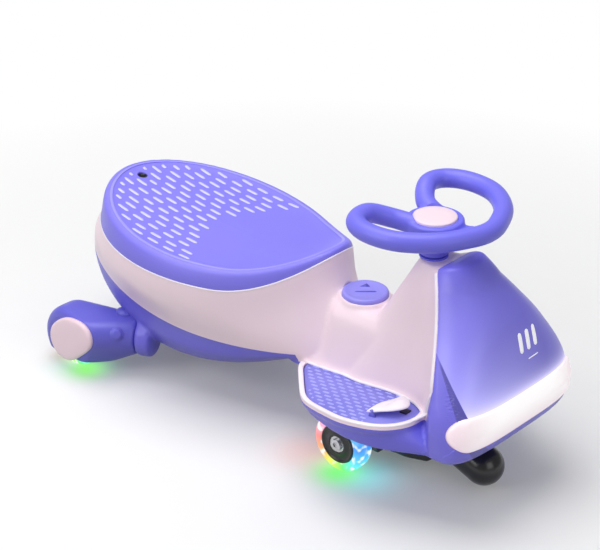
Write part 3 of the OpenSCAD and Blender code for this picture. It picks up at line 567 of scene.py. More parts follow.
def dressed(piece, material, body, slot_name, *nodes):
    """Gives a piece its material and body, and hides the CAD nodes it stands for; its slot name is not used.
    """
    piece.data.materials.clear()
    piece.data.materials.append(material)
    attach(piece, body)
    if nodes:
        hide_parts(*nodes)
    return piece


purple = moulded("purple_plastic", (0.19, 0.17, 0.84), (0.18, 0.16, 0.81), 0.38, below=0.38)
on_shaft = upright(STEER_X, 0)
bush_hole = rod(14.4, 40, 340, on_shaft)
plug_holes = [rod(PLUG_R + 0.4, -PLUG_L, 40, at_leg(side)) for side in (-1, 1)]
lower_shell = parted("lower_shell_moulding", None,
                     [above(shell_line, -0.2), ahead(-0.05), bush_hole, *plug_holes])
dressed(lower_shell, purple, "body", "purple_plastic", "lower_shell")

# The upper shell is the pink half: it carries the seat's rim, the deck with the button's boss, the
# column and the two footrest trays. It is screwed to the lower shell from below, and one raised bead runs
# round each footrest and on up the column beside the cowl; the bead's near white is a painted
# highlight on the edge.
LIP_W, PAD_TOP, PAD_T = 7, -2, 3
HANDS = ((-1, "right"), (1, "left"))
pink = moulded("pink_plastic", (0.93, 0.75, 0.82), (0.91, 0.73, 0.80), 0.40)
# Near white pink: the pedal's own colour, and a painted highlight on the beads along the edges.
pale_pink_and_highlight = moulded("lip_plastic", (0.97, 0.90, 0.96), (0.95, 0.87, 0.94), 0.35)
pocket = rod(30.6, 192.5, 260, upright(BUTTON_X, 0))
upper_shell = parted("upper_shell_moulding", above(shell_line, 0.2),
                     [above(seat_line, -0.3), ahead(-0.3), bush_hole, pocket])
for side in (-1, 1):
    outline = [(x, side * y) for x, y in foot_outline(LIP_W)]
    tray = solid("tray", loft([[on_foot(x, y, z) for x, y in outline] for z in (0.6, PAD_TOP - PAD_T)]))
    cut(tray, *walls(0))
    carved(upper_shell, tray)
    bpy.data.objects.remove(tray)
dressed(upper_shell, pink, "body", "pink_plastic", "upper_shell")


def skin_of(piece):
    """A piece's surface, to look up places on it."""
    return BVHTree.FromObject(piece, bpy.context.evaluated_depsgraph_get())


form_skin = skin_of(form)


def flank_y(x, z):
    """How far out the form's flank lies at a place on its side."""
    hit = form_skin.ray_cast(Vector((x * MM, -0.4, z * MM)), Vector((0, 1, 0)))[0]
    return -hit.y / MM


def tube(path, r, flat=1.0, n=20, ends=True):
    """A tube along a path, round or flattened; without ends it closes on itself."""
    rings = []
    for k, p in enumerate(path):
        after = path[min(k + 1, len(path) - 1)] if ends else path[(k + 1) % len(path)]
        before = path[max(k - 1, 0)] if ends else path[k - 1]
        along = (Vector(after) - Vector(before)).normalized()
        out = along.cross(Vector((0, 0, 1))).normalized()
        up = out.cross(along)
        rings.append([tuple(Vector(p) + r * (out * a + up * b * flat)) for a, b in circle(1, n)])
    return loft(rings if ends else rings + rings[:1], lid=ends)


rest = [p for p in foot_outline(3.7) if p[1] > 63 + 0.2 * (p[0] - 50)][::-1]
climb = [(288, 146), (294, 160), (299, 176)] + [(edge_x_at(z) - 2.6, z) for z in range(190, 300, 21)]
for side, hand in HANDS:
    edge = [on_foot(x, y, -0.4) for x, y in rest]
    border = [(x, flank_y(x, z) - 3.4, z) for x, z in climb]
    edge += [(x, y + 2, z) for x, y, z in border[:2]]
    inner = [(x, flank_y(x, foot_at(x) + 2) + 1.2, foot_at(x) - 1) for x in range(60, 285, 16)]
    beads = [tube([(x, side * y, z) for x, y, z in spline(run, 4)], r, 0.6)
             for run, r in ((edge, 3.3), (border, 5), (inner, 3.2))]
    dressed(solid("edge_beads_" + hand, *beads), pale_pink_and_highlight, "body", "pink_plastic")

# A purple pad lies in each footrest, held by its lip. Rows of short raised bars keep the shoe from
# slipping; every second row is set off by half a step. The bars are painted paler than the pad: a painted
# highlight. The right pad has two lugs for the pedal's pin.
PEDAL_AT, PEDAL_MIDDLE, PEDAL_ROOM, HINGE_H = (231, -116), (252, 108), 38, 4.5
LUG_R, LUG_HALF_W = 2.6, 1.2
RIB_W, RIB_L, RIB_STEP, RIB_ROW = 3.6, 12, 17, 6.7
pad_purple = moulded("pad_plastic", (0.225, 0.22, 0.77), (0.21, 0.205, 0.74), 0.42)
# Paler than the pad: a painted highlight on the raised bars.
rib_painted_highlight = moulded("rib_plastic", (0.42, 0.43, 0.98), (0.39, 0.40, 0.95), 0.35)


def bar(points, width, height, up=(0, 0, 1)):
    """A raised bar with rounded ends over points on a surface."""
    up = Vector(up).normalized()
    across_bar = up.cross(Vector(points[-1]) - Vector(points[0])).normalized()
    rings = []
    for k, p in enumerate(points):
        taper = math.sqrt(max(0.05, 1 - (2 * k / (len(points) - 1) - 1) ** 6))
        rings.append([tuple(Vector(p) + across_bar * width / 2 * taper * math.cos(a)
                            + up * ((height + 0.6) * taper * math.sin(a) - 0.6))
                      for a in (math.pi * j / 6 for j in range(7))])
    return loft(rings)


def runs(inside, y, x, length, step, low):
    """The bars of one row along X, from x back to low, each as far as it lies inside a region."""
    while x > low:
        run = [x - length * k / 10 for k in range(11)]
        kept = [p for p in run if inside(p, y)]
        if len(kept) > 2:
            yield [(kept[0] + (kept[-1] - kept[0]) * k / 6, y) for k in range(7)]
        x -= step


def inside_outline(outline):
    """Whether a point lies inside a convex outline."""
    pairs = list(zip(outline, outline[1:] + outline[:1]))
    return lambda x, y: all((bx - ax) * (y - ay) - (by - ay) * (x - ax) >= 0 for (ax, ay), (bx, by) in pairs)


rib_room = inside_outline(foot_outline(12))


def ribbed(side):
    """Where a pad has ribs: within its edge and clear of the pedal."""
    return lambda x, y: rib_room(x, y) and (side > 0 or math.dist((x, y), PEDAL_MIDDLE) > PEDAL_ROOM)


for side, hand in HANDS:
    levels = [(8.4, PAD_TOP - PAD_T + 0.1), (8.2, PAD_TOP - 0.8), (8.8, PAD_TOP)]
    shells = [loft([[on_foot(x, side * y, z) for x, y in foot_outline(inset)] for inset, z in levels])]
    if side < 0:
        for y in (-129.5, -102.5):
            lug = [(PEDAL_AT[0] + LUG_R * math.cos(a), HINGE_H + LUG_R * math.sin(a))
                   for a in (math.pi * k / 16 for k in range(17))]
            lug += [(PEDAL_AT[0] - 5, PAD_TOP - 1), (PEDAL_AT[0] + 5, PAD_TOP - 1)]
            shells.append(loft([[on_foot(x, y + w, z) for x, z in lug] for w in (-LUG_HALF_W, LUG_HALF_W)]))
    pad = solid("footrest_pad_moulding_" + hand, *shells)
    dressed(pad, pad_purple, "body", "pad_plastic", "footrest_pad_" + hand)
    rows = [(58 + RIB_ROW * row, 282 - RIB_STEP / 2 * (row % 2)) for row in range(17)]
    ribs = [bar([on_foot(x, side * y, PAD_TOP) for x, y in run], RIB_W, 0.9)
            for row_y, row_x in rows for run in runs(ribbed(side), row_y, row_x, RIB_L, RIB_STEP, 50)]
    dressed(solid("pad_ribs_" + hand, *ribs), rib_painted_highlight, "body", "pad_plastic")

# The seat is a thin purple saddle that clips over the tub. Its dished top has rows of raised bars over the
# rear part, which end in steps along an arc, and its lower edge meets the pink shell at a fine lip. The
# bars, a raised rim along the shoulder and the lip are painted paler than the seat: painted highlights.
STRAP_X = SEAT_REAR + 36
ROW_ENDS = [-158, -164, -147, -152, -138, -130, -131, -112, -104]
BAR_W, BAR_L, BAR_STEP, BAR_ROW, EYE_ROOM = 5.4, 22, 29.3, 13.2, 13
seat_purple = moulded("seat_plastic", (0.26, 0.23, 0.98), (0.245, 0.217, 0.95), 0.42, below=0.6)
# Paler than the seat: a painted highlight on the raised bars.
bar_painted_highlight = moulded("bar_plastic", (0.66, 0.65, 0.98), (0.62, 0.61, 0.96), 0.35)
seat = parted("seat_moulding", above(seat_line, 0.3), [rod(7.2, 190, 300, upright(STRAP_X, 0))])
dressed(seat, seat_purple, "body", "purple_plastic", "seat_cover")
seat_skin = skin_of(seat)
seat_room = inside_outline([(x, y) for x, y, z in seat_ring(SHOULDER_INSET + 9, lip_at)])


def seat_top(x, y):
    hit = seat_skin.ray_cast(Vector((x * MM, y * MM, 0.4)), Vector((0, 0, -1)))[0]
    return hit.z / MM if hit else shoulder_at(x)


def barred(x, y):
    """Whether the seat has bars here: within its shoulder and clear of the strap's eye."""
    return seat_room(x, y) and math.hypot(x - STRAP_X, y) > EYE_ROOM


rows = [(BAR_ROW * row, ROW_ENDS[abs(row)]) for row in range(-8, 9)]
seat_bars = [bar([(x, y, seat_top(x, y)) for x, y in run], BAR_W, 1.0)
             for row_y, row_x in rows for run in runs(barred, row_y, row_x, BAR_L, BAR_STEP, -330)]
dressed(solid("seat_bars", *seat_bars), bar_painted_highlight, "body", "purple_plastic")
# The raised rim round the shoulder is paler than the seat: a painted highlight.
rim_line = [(x, y, seat_top(x, y) - 0.1) for x, y, z in seat_ring(SHOULDER_INSET + 3, lip_at)]
rim_painted_highlight = moulded("seat_rim_plastic", (0.37, 0.345, 0.99), (0.35, 0.325, 0.97), 0.35)
dressed(solid("seat_rim", tube(rim_line, 2.4, 0.3, 8, ends=False)), rim_painted_highlight, "body", "purple_plastic")
# The fine lip at the seat's lower edge is near white: a painted highlight.
lip = solid("seat_lip", tube([(x, y, z - 0.9) for x, y, z in seat_ring(0.6, lip_at)], 1.4, n=8, ends=False))
dressed(lip, pale_pink_and_highlight, "body", "pink_plastic")

# The strap's eye is a small moulded bush of black plastic, pressed into a hole at the seat's rear end. A
# pull strap is tied to it.
black = moulded("black_plastic", (0.012, 0.012, 0.014), (0.016, 0.016, 0.018), 0.28, 0.1)
eye_top = seat_top(STRAP_X + 9, 0)
eyelet = solid("strap_eyelet_bush", lathe([
    (4.5, eye_top - 13), (7, eye_top - 13), (7, eye_top + 0.4), (6.2, eye_top + 0.9), (5.2, eye_top + 0.7),
    (4.5, eye_top - 0.2), (4.5, eye_top - 13)], upright(STRAP_X, 0)))
dressed(eyelet, black, "body", "black_plastic", "strap_eyelet")

# The cowl is the purple nose that closes the column at the front, screwed on from inside. It has a wide
# cut-out for the lamp, a crease over each end of it, and plain bars and a line printed on its face.
LAMP_Z, LAMP_H, LAMP_HALF = 119, 45, 119
CREASE_TOP, CREASE_END = Vector((295, 88, 221)), Vector((347, 96.5, 166))
CHEEK_LOW, CREASE_W, CHEEK_W, CREASE_DEEP = Vector((333, 119.5, 143)), 12, 36, 3.4
RUN = CREASE_END - CREASE_TOP
OVER = (CHEEK_LOW - CREASE_TOP - RUN * (CHEEK_LOW - CREASE_TOP).dot(RUN) / RUN.length_squared).normalized()


def crease_frame(place):
    """How far along a crease, and how far aside of it towards the cheek, a place on the cowl lies."""
    width = place.axis(1)
    width = width.math("ABSOLUTE", width, 0.0)
    half_place = place.node("CombineXYZ", {}, {0: place.axis(0), 1: width, 2: place.axis(2)})
    spot = place.node("VectorMath", {"operation": "SUBTRACT"}, {0: half_place, 1: CREASE_TOP * MM})
    dot = {"operation": "DOT_PRODUCT"}
    along = spot.node("VectorMath", dot, {0: spot, 1: RUN / RUN.length_squared / MM}, 1)
    return along, spot.node("VectorMath", dot, {0: spot, 1: OVER / MM}, 1)


def crease_shade(place):
    """The wall below each crease, which lies in its own shade."""
    along, aside = crease_frame(place)
    wall = 1 + CREASE_W * along
    return aside.between(-0.4, 0.4) * (wall - aside).between(-0.4, 0.6) * along.between(0.02, 0.2) * 0.55


def lamp_glow(place):
    """The lamp's light on the cowl: a narrow halo at the lens, and a wide faint one on the right half."""
    rise = place.axis(2) - (LAMP_Z + LAMP_H / 2) * MM
    rise = rise.math("ABSOLUTE", rise, 0.0) - LAMP_H / 2 * MM
    rise = rise.math("MAXIMUM", rise, 0.0) / MM
    upper = place.axis(2).between(0.15, 0.165)
    aside = crease_frame(place)[1]
    face = aside.between(0.4, -0.4) * upper
    near = rise.math("POWER", 0.5, rise / 5) * place.axis(0).between(0.29, 0.325) * face
    wide = rise.math("POWER", 0.5, rise / 38) * place.axis(1).between(0.05, -0.08) * face
    haze = (wide * 1.1).mixed((0, 0, 0, 1), (0.36, 0.35, 0.52, 1))
    return (near * 0.85).mixed(haze, (0.80, 0.76, 0.78, 1))


def stadium(inset, n=160):
    """The lamp's outline as y and z."""
    r, half = LAMP_H / 2 - inset, LAMP_HALF - LAMP_H / 2
    ends = [(half + r * math.cos(a), r * math.sin(a)) for a in (math.pi * (k / 40 - 0.5) for k in range(41))]
    ring = ends + [(-y, -z) for y, z in ends]
    return [(y, LAMP_Z + LAMP_H / 2 + z) for y, z in even(ring, n)]


for vertex in form.data.vertices:
    spot = Vector((vertex.co.x, abs(vertex.co.y), vertex.co.z)) / MM - CREASE_TOP
    along, aside = spot.dot(RUN) / RUN.length_squared, spot.dot(OVER)
    wall, cheek = 1 + CREASE_W * along, 2 + CHEEK_W * along
    if 0 < along < 1.4 and 0 < aside < cheek:
        share = aside / wall if aside < wall else (cheek - aside) / (cheek - wall)
        vertex.co -= vertex.normal * CREASE_DEEP * min(1, 1.6 * along) * share * MM
# Painted shade on the wall below each crease and a painted glow of the lamp's light round the lens.
cowl_purple = moulded("cowl_plastic", (0.205, 0.18, 0.84), (0.195, 0.17, 0.81), 0.36,
                      glow=lamp_glow, painted_shade=crease_shade)
lamp_hole = loft([[(x, y, z) for y, z in stadium(-0.3)] for x in (200, 460)])
cowl = parted("cowl_moulding", ahead(0.05), [lamp_hole])
dressed(cowl, cowl_purple, "body", "purple_plastic", "front_cowl")
cowl_skin = skin_of(cowl)


def on_cowl(y, z):
    hit = cowl_skin.ray_cast(Vector((0.6, y * MM, z * MM)), Vector((-1, 0, 0)))[0]
    return hit.x / MM, y, z


FACE_UP = (0.9, 0.1, 0.42)
prints = [bar([on_cowl(y + 3 * k / 8, 207 + 27 * k / 8) for k in range(9)], 9, 0.5, FACE_UP)
          for y in (5, 19, 33)]
prints.append(bar([on_cowl(12 + 24 * k / 8, 199) for k in range(9)], 1.8, 0.4, FACE_UP))
# The print glows faintly: painted light that brightens it.
print_white = moulded("print_white", (0.95, 0.95, 0.97), (0.92, 0.92, 0.95), 0.4,
                      glow=lambda place: place.noise(40).mixed((0.24, 0.24, 0.26, 1), (0.28, 0.28, 0.30, 1)))
dressed(solid("cowl_print", *prints), print_white, "body", "purple_plastic")

# The lamp is one milky lens that wraps round the nose; it snaps into the cowl and is lit from behind by
# a strip of white lamps.
lens_white, place, feed = finish("lamp_lens", Roughness=0.25, Emission_Strength=0.45, Coat_Weight=0.3)
off_centre = place.axis(1)
ends_fade = (off_centre * off_centre).between(0.003, 0.0135)
low_fade = place.axis(2).between(0.148, 0.121)
fade = ends_fade.math("MAXIMUM", ends_fade, low_fade * 0.7)
feed(Base_Color=fade.mixed((1.0, 0.97, 0.975, 1), (0.90, 0.76, 0.81, 1)),
     Emission_Color=fade.mixed((1.0, 0.98, 0.98, 1), (0.62, 0.46, 0.52, 1)),
     Normal=place.node("TexWave", {}, {"Vector": place, "Scale": 60}).bump(0.03, 0.0005))


def cowl_x(y, z):
    """How far forward the cowl's surface lies at a place on it."""
    share = min(1, abs(y) / edge_half_at(z)) ** (1 / bend_at(z))
    return edge_x_at(z) + (front_at(z) - edge_x_at(z)) * max(0, 1 - share * share) ** (bend_at(z) / 2)


lens_levels = [(0.2, -6), (0.2, -0.6), (0.5, 0.6), (1.4, 1.4), (3, 1.9), (6, 2), (10, 2), (14, 2), (18, 2),
               (22.3, 2)]
lens = solid("headlight_lens_moulding", loft([[(cowl_x(y, z) + proud, y, z) for y, z in stadium(inset)]
                                              for inset, proud in lens_levels]))
dressed(lens, lens_white, "body", "lamp_lens", "headlight_lens")
bpy.data.objects.remove(form)
bpy.data.objects.remove(core)

# Each rear leg is a hollow purple pod over its wheel, open below, with a neck that plugs into the lower
# shell and is bolted there. A round boss covers its screw, a small catch sits on top of the neck, and a
# pink cover is screwed on its outer side.
REAR_X, REAR_TRACK, WHEEL_R, WHEEL_W, WHEEL_ROOM = -305, 132, 40, 27, 2.5
POD_R, POD_Z, POD_IN, POD_OUT, POD_OPEN_Z, NECK_R = 48, 43, 24, 26, 22, 27
SQUARE = ((-1, -1), (1, -1), (1, 1), (-1, 1))
COVER_DISCS = [(2, 45, 28), (18, 58, 27), (39, 66, 20)]
COVER_LEVELS = [(0.6, -1), (0.2, 0.5), (0, 2), (0.4, 3.6), (1.6, 5), (4, 6), (9, 6.6), (14, 6.9), (19.5, 7)]


def across(x, y, z, side):
    """The frame of a wheel: c runs outward along its axle."""
    return lambda a, b, c: (x + a, side * (y + c), z + b)


def disc_points(r, c, place, n=64):
    return [place(a, b, c) for a, b in circle(r, n)]


def stuck_on(piece, spot, profile, n=40):
    """A turned boss that stands square on a piece's surface at the place nearest a spot."""
    foot, normal = skin_of(piece).find_nearest(Vector(spot) * MM)[:2]
    u = normal.orthogonal().normalized()
    v = normal.cross(u)
    return lathe(profile, lambda a, b, c: tuple(foot / MM + u * a + v * b + normal * c), n)


pink_cover = moulded("cover_plastic", (0.92, 0.71, 0.785), (0.90, 0.69, 0.765), 0.38)
# The pods' purple is darker than the body's: painted shade on their sides.
pod_purple_shaded = moulded("pod_plastic", (0.145, 0.137, 0.70), (0.135, 0.128, 0.67), 0.38, below=0.38)
for side, hand in HANDS:
    pod_place = across(REAR_X, REAR_TRACK, POD_Z, side)
    on_side = across(REAR_X, REAR_TRACK, 0, side)
    rims = [(POD_R - 12, -POD_IN), (POD_R - 4, -POD_IN + 4), (POD_R, -POD_IN + 12), (POD_R, POD_OUT - 12),
            (POD_R - 4, POD_OUT - 4), (POD_R - 12, POD_OUT)]
    points = [p for r, c in rims for p in disc_points(r, c, pod_place)]
    points += disc_points(NECK_R, 0.4, at_leg(side)) + disc_points(NECK_R, 8, at_leg(side))
    points += [on_side(x + a, z + b, c) for x, z, r in COVER_DISCS for a, b in circle(r + 2)
               for c in (POD_OUT - 4, POD_OUT)]
    plug = rod(PLUG_R, -PLUG_L, 6, at_leg(side))
    pod = solid("rear_leg_pod_" + hand, hulled(points), plug)
    filleted(pod, 2, 26)
    half_w, well_r = WHEEL_W / 2 + WHEEL_ROOM, WHEEL_R + WHEEL_ROOM
    low_box = [(-275 + 125 * u, 80 * v) for u, v in SQUARE]
    cut(pod, rod(well_r, -half_w, half_w, across(REAR_X, REAR_TRACK, WHEEL_R, side), 96),
        loft([[(x, side * REAR_TRACK + y, z) for x, y in low_box] for z in (-60, POD_OPEN_Z)]))
    dressed(pod, pod_purple_shaded, "body", "purple_plastic", "rear_leg_" + hand)
    boss = stuck_on(pod, (-238, side * 122, 66), [
        (9.5, -3), (9.5, 0.8), (8.6, 1.4), (7.4, 1.4), (7, 2.6), (6, 3.4), (3, 3.8), (0, 3.9)])
    catch = stuck_on(pod, (-244, side * 98, 88), [
        (13, -4), (13, 0.5), (11.6, 3), (8.5, 4.8), (4, 5.8), (0, 6)])
    dressed(solid("leg_screw_covers_" + hand, boss, catch), pod_purple_shaded, "body", "purple_plastic")
    cover = solid("wheel_cover_plate_" + hand, loft([
        [on_side(a, b, POD_OUT + 0.1 + c) for a, b in flowing(COVER_DISCS, inset - 2.5, 30, 96)]
        for inset, c in COVER_LEVELS]))
    dressed(cover, pink_cover, "body", "pink_plastic", "wheel_cover_" + hand)

# Four light-up wheels turn on bearings: a clear cast urethane tyre round a black hub, with a ring of
# coloured lamps set in the tyre. They light as they turn, each lamp in its own colour.
HUES = [(0.0, (1.0, 0.22, 0.20)), (0.12, (1.0, 0.50, 0.12)), (0.20, (0.80, 1.0, 0.06)),
        (0.30, (0.12, 1.0, 0.15)), (0.40, (0.10, 0.80, 0.90)), (0.52, (0.03, 0.28, 0.95)),
        (0.68, (0.10, 0.75, 1.0)), (0.85, (0.9, 0.45, 0.8)), (1.0, (1.0, 0.22, 0.20))]
TYRE = [(27, -12), (29, -13), (32, -13.5), (35.5, -12.8), (38, -10.6), (39.4, -7.5), (40, -4), (40, 4),
        (39.4, 7.5), (38, 10.6), (35.5, 12.8), (32, 13.5), (29, 13), (27, 12), (27, -12)]
HUB = [(11.2, -12.4), (25.5, -12), (26.9, -10.5), (26.9, 10.5), (26.2, 12.6), (25, 13.4), (23.6, 13.2),
       (22.6, 12), (20, 11.4), (16, 11.8), (14.4, 12.8), (13, 13), (11.2, 12.4), (11.2, -12.4)]
BEAD = [(0, -3), (3.4, -2.6), (3.4, 9), (2.6, 11), (1.4, 12), (0, 12.4)]
FRONT_TRACK, BEADS, BEAD_RING = 84.5, 10, 33.4
AXLE_X = STEER_X - 68


def lamp_hue(place, x):
    """The colour of the lamps by the turn about a wheel's axle."""
    a = place.axis(0) - x * MM
    b = place.axis(2) - WHEEL_R * MM
    turn = a.math("ARCTAN2", b, a) / math.tau + 0.5
    return turn.node("ValToRGB", {"stops": HUES}, {0: turn})


for end, x, track in (("front", AXLE_X, FRONT_TRACK), ("rear", REAR_X, REAR_TRACK)):
    # The clear tyre glows in its lamps' colours: painted light for the lamps' light inside it.
    clear, place, feed = finish(end + "_tyre_urethane", Roughness=0.3, IOR=1.2, Transmission_Weight=0.25,
                                Emission_Strength=0.9, Coat_Weight=0.1)
    # White flecks in that glow are painted glints.
    spark = place.noise(90, 1).between(0.56, 0.68)
    feed(Base_Color=place.noise(40).mixed((0.10, 0.12, 0.13, 1), (0.16, 0.18, 0.19, 1)),
         Emission_Color=spark.mixed(lamp_hue(place, x), (0.95, 1.0, 1.0, 1)),
         Normal=place.noise(120).bump(0.05, 0.001))
    lit, place, feed = finish(end + "_lamp_body", Roughness=0.2, Emission_Strength=1.1)
    glow = lamp_hue(place, x)
    feed(Base_Color=glow, Emission_Color=place.noise(150).between(0.4, 0.7).mixed(glow, (1, 1, 1, 1)),
         Roughness=0.15 + 0.1 * place.noise(200))
    for side, hand in HANDS:
        body = f"{end}_wheel_{hand}"
        spot = across(x, track, WHEEL_R, side)
        tyre = solid(f"{end}_tyre_cast_{hand}", lathe(TYRE, spot, 96))
        dressed(tyre, clear, body, "clear_tyre", f"{end}_tyre_{hand}")
        hub = solid(f"{end}_hub_moulding_{hand}", lathe(HUB, spot, 96))
        dressed(hub, black, body, "hub_plastic", f"{end}_hub_{hand}")
        beads = []
        for u, v in circle(BEAD_RING, BEADS):
            beads.append(lathe(BEAD, lambda a, b, c, u=u, v=v: spot(u + a, v + b, c), 20))
        dressed(solid(f"{end}_lamps_{hand}", *beads), lit, body, "light_bead", f"{end}_beads_{hand}")

# The yoke is one glossy black moulding under the nose: a hub on the steering shaft, a beam behind it for
# the front axle, a stepped plate between the wheels, and a long snout with a small roller that stops the
# car from tipping.
NOSE, NOSE_R, SLOT_HALF, SLOT_R, ROLLER_Z = (STEER_X + 92, 0, 33), 26, 6, 18, 20
yoke_black = moulded("yoke_plastic", (0.010, 0.010, 0.012), (0.014, 0.014, 0.016), 0.22, 0.04)
snout = [(NOSE[0] + NOSE_R * math.cos(a) * math.cos(b), NOSE_R * math.sin(b) * math.cos(a),
          NOSE[2] + NOSE_R * math.sin(a))
         for a in (math.radians(10 * k) for k in range(-9, 10))
         for b in (math.radians(10 * k) for k in range(36))]
hub_low = [(STEER_X + a, b, z) for a, b in circle(20, 32) for z in (50, 76)]
hub_wide = [(STEER_X + a, b, z) for a, b in circle(23, 32) for z in (50, 74)]
beam = [(AXLE_X + a, y, WHEEL_R + b) for y in (-67, 67) for a, b in circle(13, 32)]


def plate(rows, low, high):
    """The skin of a level plate; each row is a place ahead of the axle and a half width."""
    return hulled([(AXLE_X + x, y, z) for x, half in rows for y in (-half, half) for z in (low, high)])


yoke = solid("front_yoke_moulding", hulled(snout + hub_low), hulled(beam + hub_wide),
             plate([(-8, 66), (42, 66)], 29, 54), plate([(40, 58), (78, 54), (104, 44), (108, 20)], 33, 54),
             rod(28, 48, 93, on_shaft))
filleted(yoke, 1.8, 6)
slot = [(NOSE[0] + SLOT_R * u, SLOT_HALF * v) for u, v in SQUARE]
cut(yoke, rod(SLOT_R, -SLOT_HALF, SLOT_HALF, lambda a, b, c: (NOSE[0] + a, c, ROLLER_Z + b)),
    loft([[(x, y, z) for x, y in slot] for z in (-10, ROLLER_Z)]))
dressed(yoke, yoke_black, "steering", "black_plastic", "front_yoke")

# The steering wheel is one purple moulding: a smooth heart shaped rim that dips into a hub, with a tapered
# collar below it that turns on the column's top; its screw is hidden below the horn disc.
RIM_Z, RIM_R, HUB_R, HUB_TOP = 354, 12.4, 36, 347
HEART = [(-12, 20), (-40, 32), (-58, 58), (-53, 86), (-24, 100), (18, 94), (56, 64), (77, 26), (83, 0)]
rim_purple = moulded("rim_plastic", (0.19, 0.18, 0.90), (0.18, 0.17, 0.87), 0.42, below=0.2)
half = [(STEER_X + x * (81 / 83 if x > 0 else 1), y * 0.98, RIM_Z - (max(0, 58 - y) * 0.38 if x < 0 else 0))
        for x, y in HEART]
path = spline(half + [(x, -y, z) for x, y, z in half[-2::-1]], 8)
spoke = [(STEER_X + x, y, z) for x, w, low, high in ((22, 20, 326, 338), (78, 22, 340, 350))
         for y in (-w, w) for z in (low, high)]
wheel = solid("steering_wheel_moulding", tube(path, RIM_R), hulled(spoke), lathe([
    (10, 299), (17.5, 299), (19, 304), (24, 314), (30, 325), (HUB_R - 1, 328), (HUB_R, 331),
    (HUB_R, HUB_TOP - 2), (HUB_R - 2, HUB_TOP), (10, HUB_TOP)], on_shaft))
filleted(wheel, 1.8, 5)
cut(wheel, rod(28.2, 337, 420, on_shaft), rod(10.2, 290, 345, on_shaft))
dressed(wheel, rim_purple, "steering", "purple_plastic", "steering_wheel")

# The horn disc in the hub and the button on the deck are pressed straight down and spring back. The
# button has a raised rim and a plain bar and wedge on top, painted dark purple: a painted shadow.
horn = solid("horn_disc", lathe([
    (0, 342.4), (26.8, 342.4), (27.4, 343), (27.4, 348), (26.9, 349), (25.6, 349.5), (18, 349.8), (8, 350),
    (0, 350)], on_shaft, 96))
dressed(horn, pink, "horn_button", "pink_plastic", "horn_button")
CAP_TOP = 208.7
cap = lathe([
    (0, 185.5), (6, 185.5), (6, 199.5), (29.4, 199.5), (30, 200.2), (30, 206.4), (29.4, 208.2), (28, 209.2),
    (25.6, 209.4), (24.2, CAP_TOP), (12, CAP_TOP - 0.3), (0, CAP_TOP - 0.4)], upright(BUTTON_X, 0), 96)
# A lighter purple than the wheel's: painted light on the cap's top face.
button_purple_painted_light = moulded("button_plastic", (0.315, 0.29, 0.90), (0.30, 0.275, 0.87), 0.40)
dressed(solid("deck_button_cap", cap), button_purple_painted_light, "start_button", "purple_plastic", "start_button")
steps = (-1, -0.8, -0.4, 0, 0.4, 0.8, 1)
mark = bar([(BUTTON_X + 2 + 11 * k, -2 + 10 * k, CAP_TOP - 0.3) for k in steps], 2.6, 1.2)
wedge = loft([[(BUTTON_X + x, y, z) for x, y in ((-12, 4), (-3, 12), (-11, 15))]
              for z in (CAP_TOP - 1, CAP_TOP + 0.4)])
# Dark purple on the bar and wedge: painted shadow.
mark_painted_shadow = moulded("mark_plastic", (0.11, 0.10, 0.60), (0.10, 0.09, 0.56), 0.45)
dressed(solid("deck_button_mark", mark, wedge), mark_painted_shadow, "start_button", "purple_plastic")

# The foot pedal is a pink leaf, pointed at both ends, that is hinged on a pin between two lugs of the
# right pad and stands a little open on its spring.
LEAF = [(-6, -17), (-7, 2), (-2, 16), (5, 28), (9, 36), (20, 31), (31, 22), (36, 12), (33, 3), (25, -4),
        (13, -9)]
LEAF_LEVELS = [(0.90, -1.4), (0.98, -0.9), (1.0, -0.2), (0.96, 1.2), (0.86, 2.6), (0.66, 3.8), (0.35, 4.6),
               (0.04, 4.8)]
LEAF_MIDDLE, LEAF_LIFT = (15, 10), 4.8
leaf = even([tuple(p) for p in spline(LEAF + LEAF[:1], 6)][:-1], 72)


def on_leaf(x, y, s, z):
    """A point of the leaf, drawn in to its middle by s, on the slope that its spring holds it at."""
    u, v = (m + (q - m) * s for q, m in zip((x, y), LEAF_MIDDLE))
    lift = LEAF_LIFT * min(1, max(0, x / 30))
    return on_foot(PEDAL_AT[0] + u, PEDAL_AT[1] + v, HINGE_H + z + lift)


rings = [[on_leaf(x, y, s, z) for x, y in leaf] for s, z in LEAF_LEVELS]
dressed(solid("foot_pedal_leaf", loft(rings)), pale_pink_and_highlight, "foot_pedal", "pink_plastic", "foot_pedal")


# The plain hardware keeps its turned and drilled shapes: bolts, axles, bearings and pins in zinc plated
# steel, plastic bushes, the rubber roller and the sealed electric units inside.
def metal(name, colour, rough):
    """Plated steel with fine turning marks."""
    material, place, feed = finish(name, Metallic=1.0)
    marks = place.noise(600, 3)
    dull = tuple(0.86 * c for c in colour)
    feed(Base_Color=place.noise(60).mixed((*colour, 1), (*dull, 1)), Roughness=rough + 0.15 * marks,
         Normal=marks.bump(0.08, 0.0003))
    return material


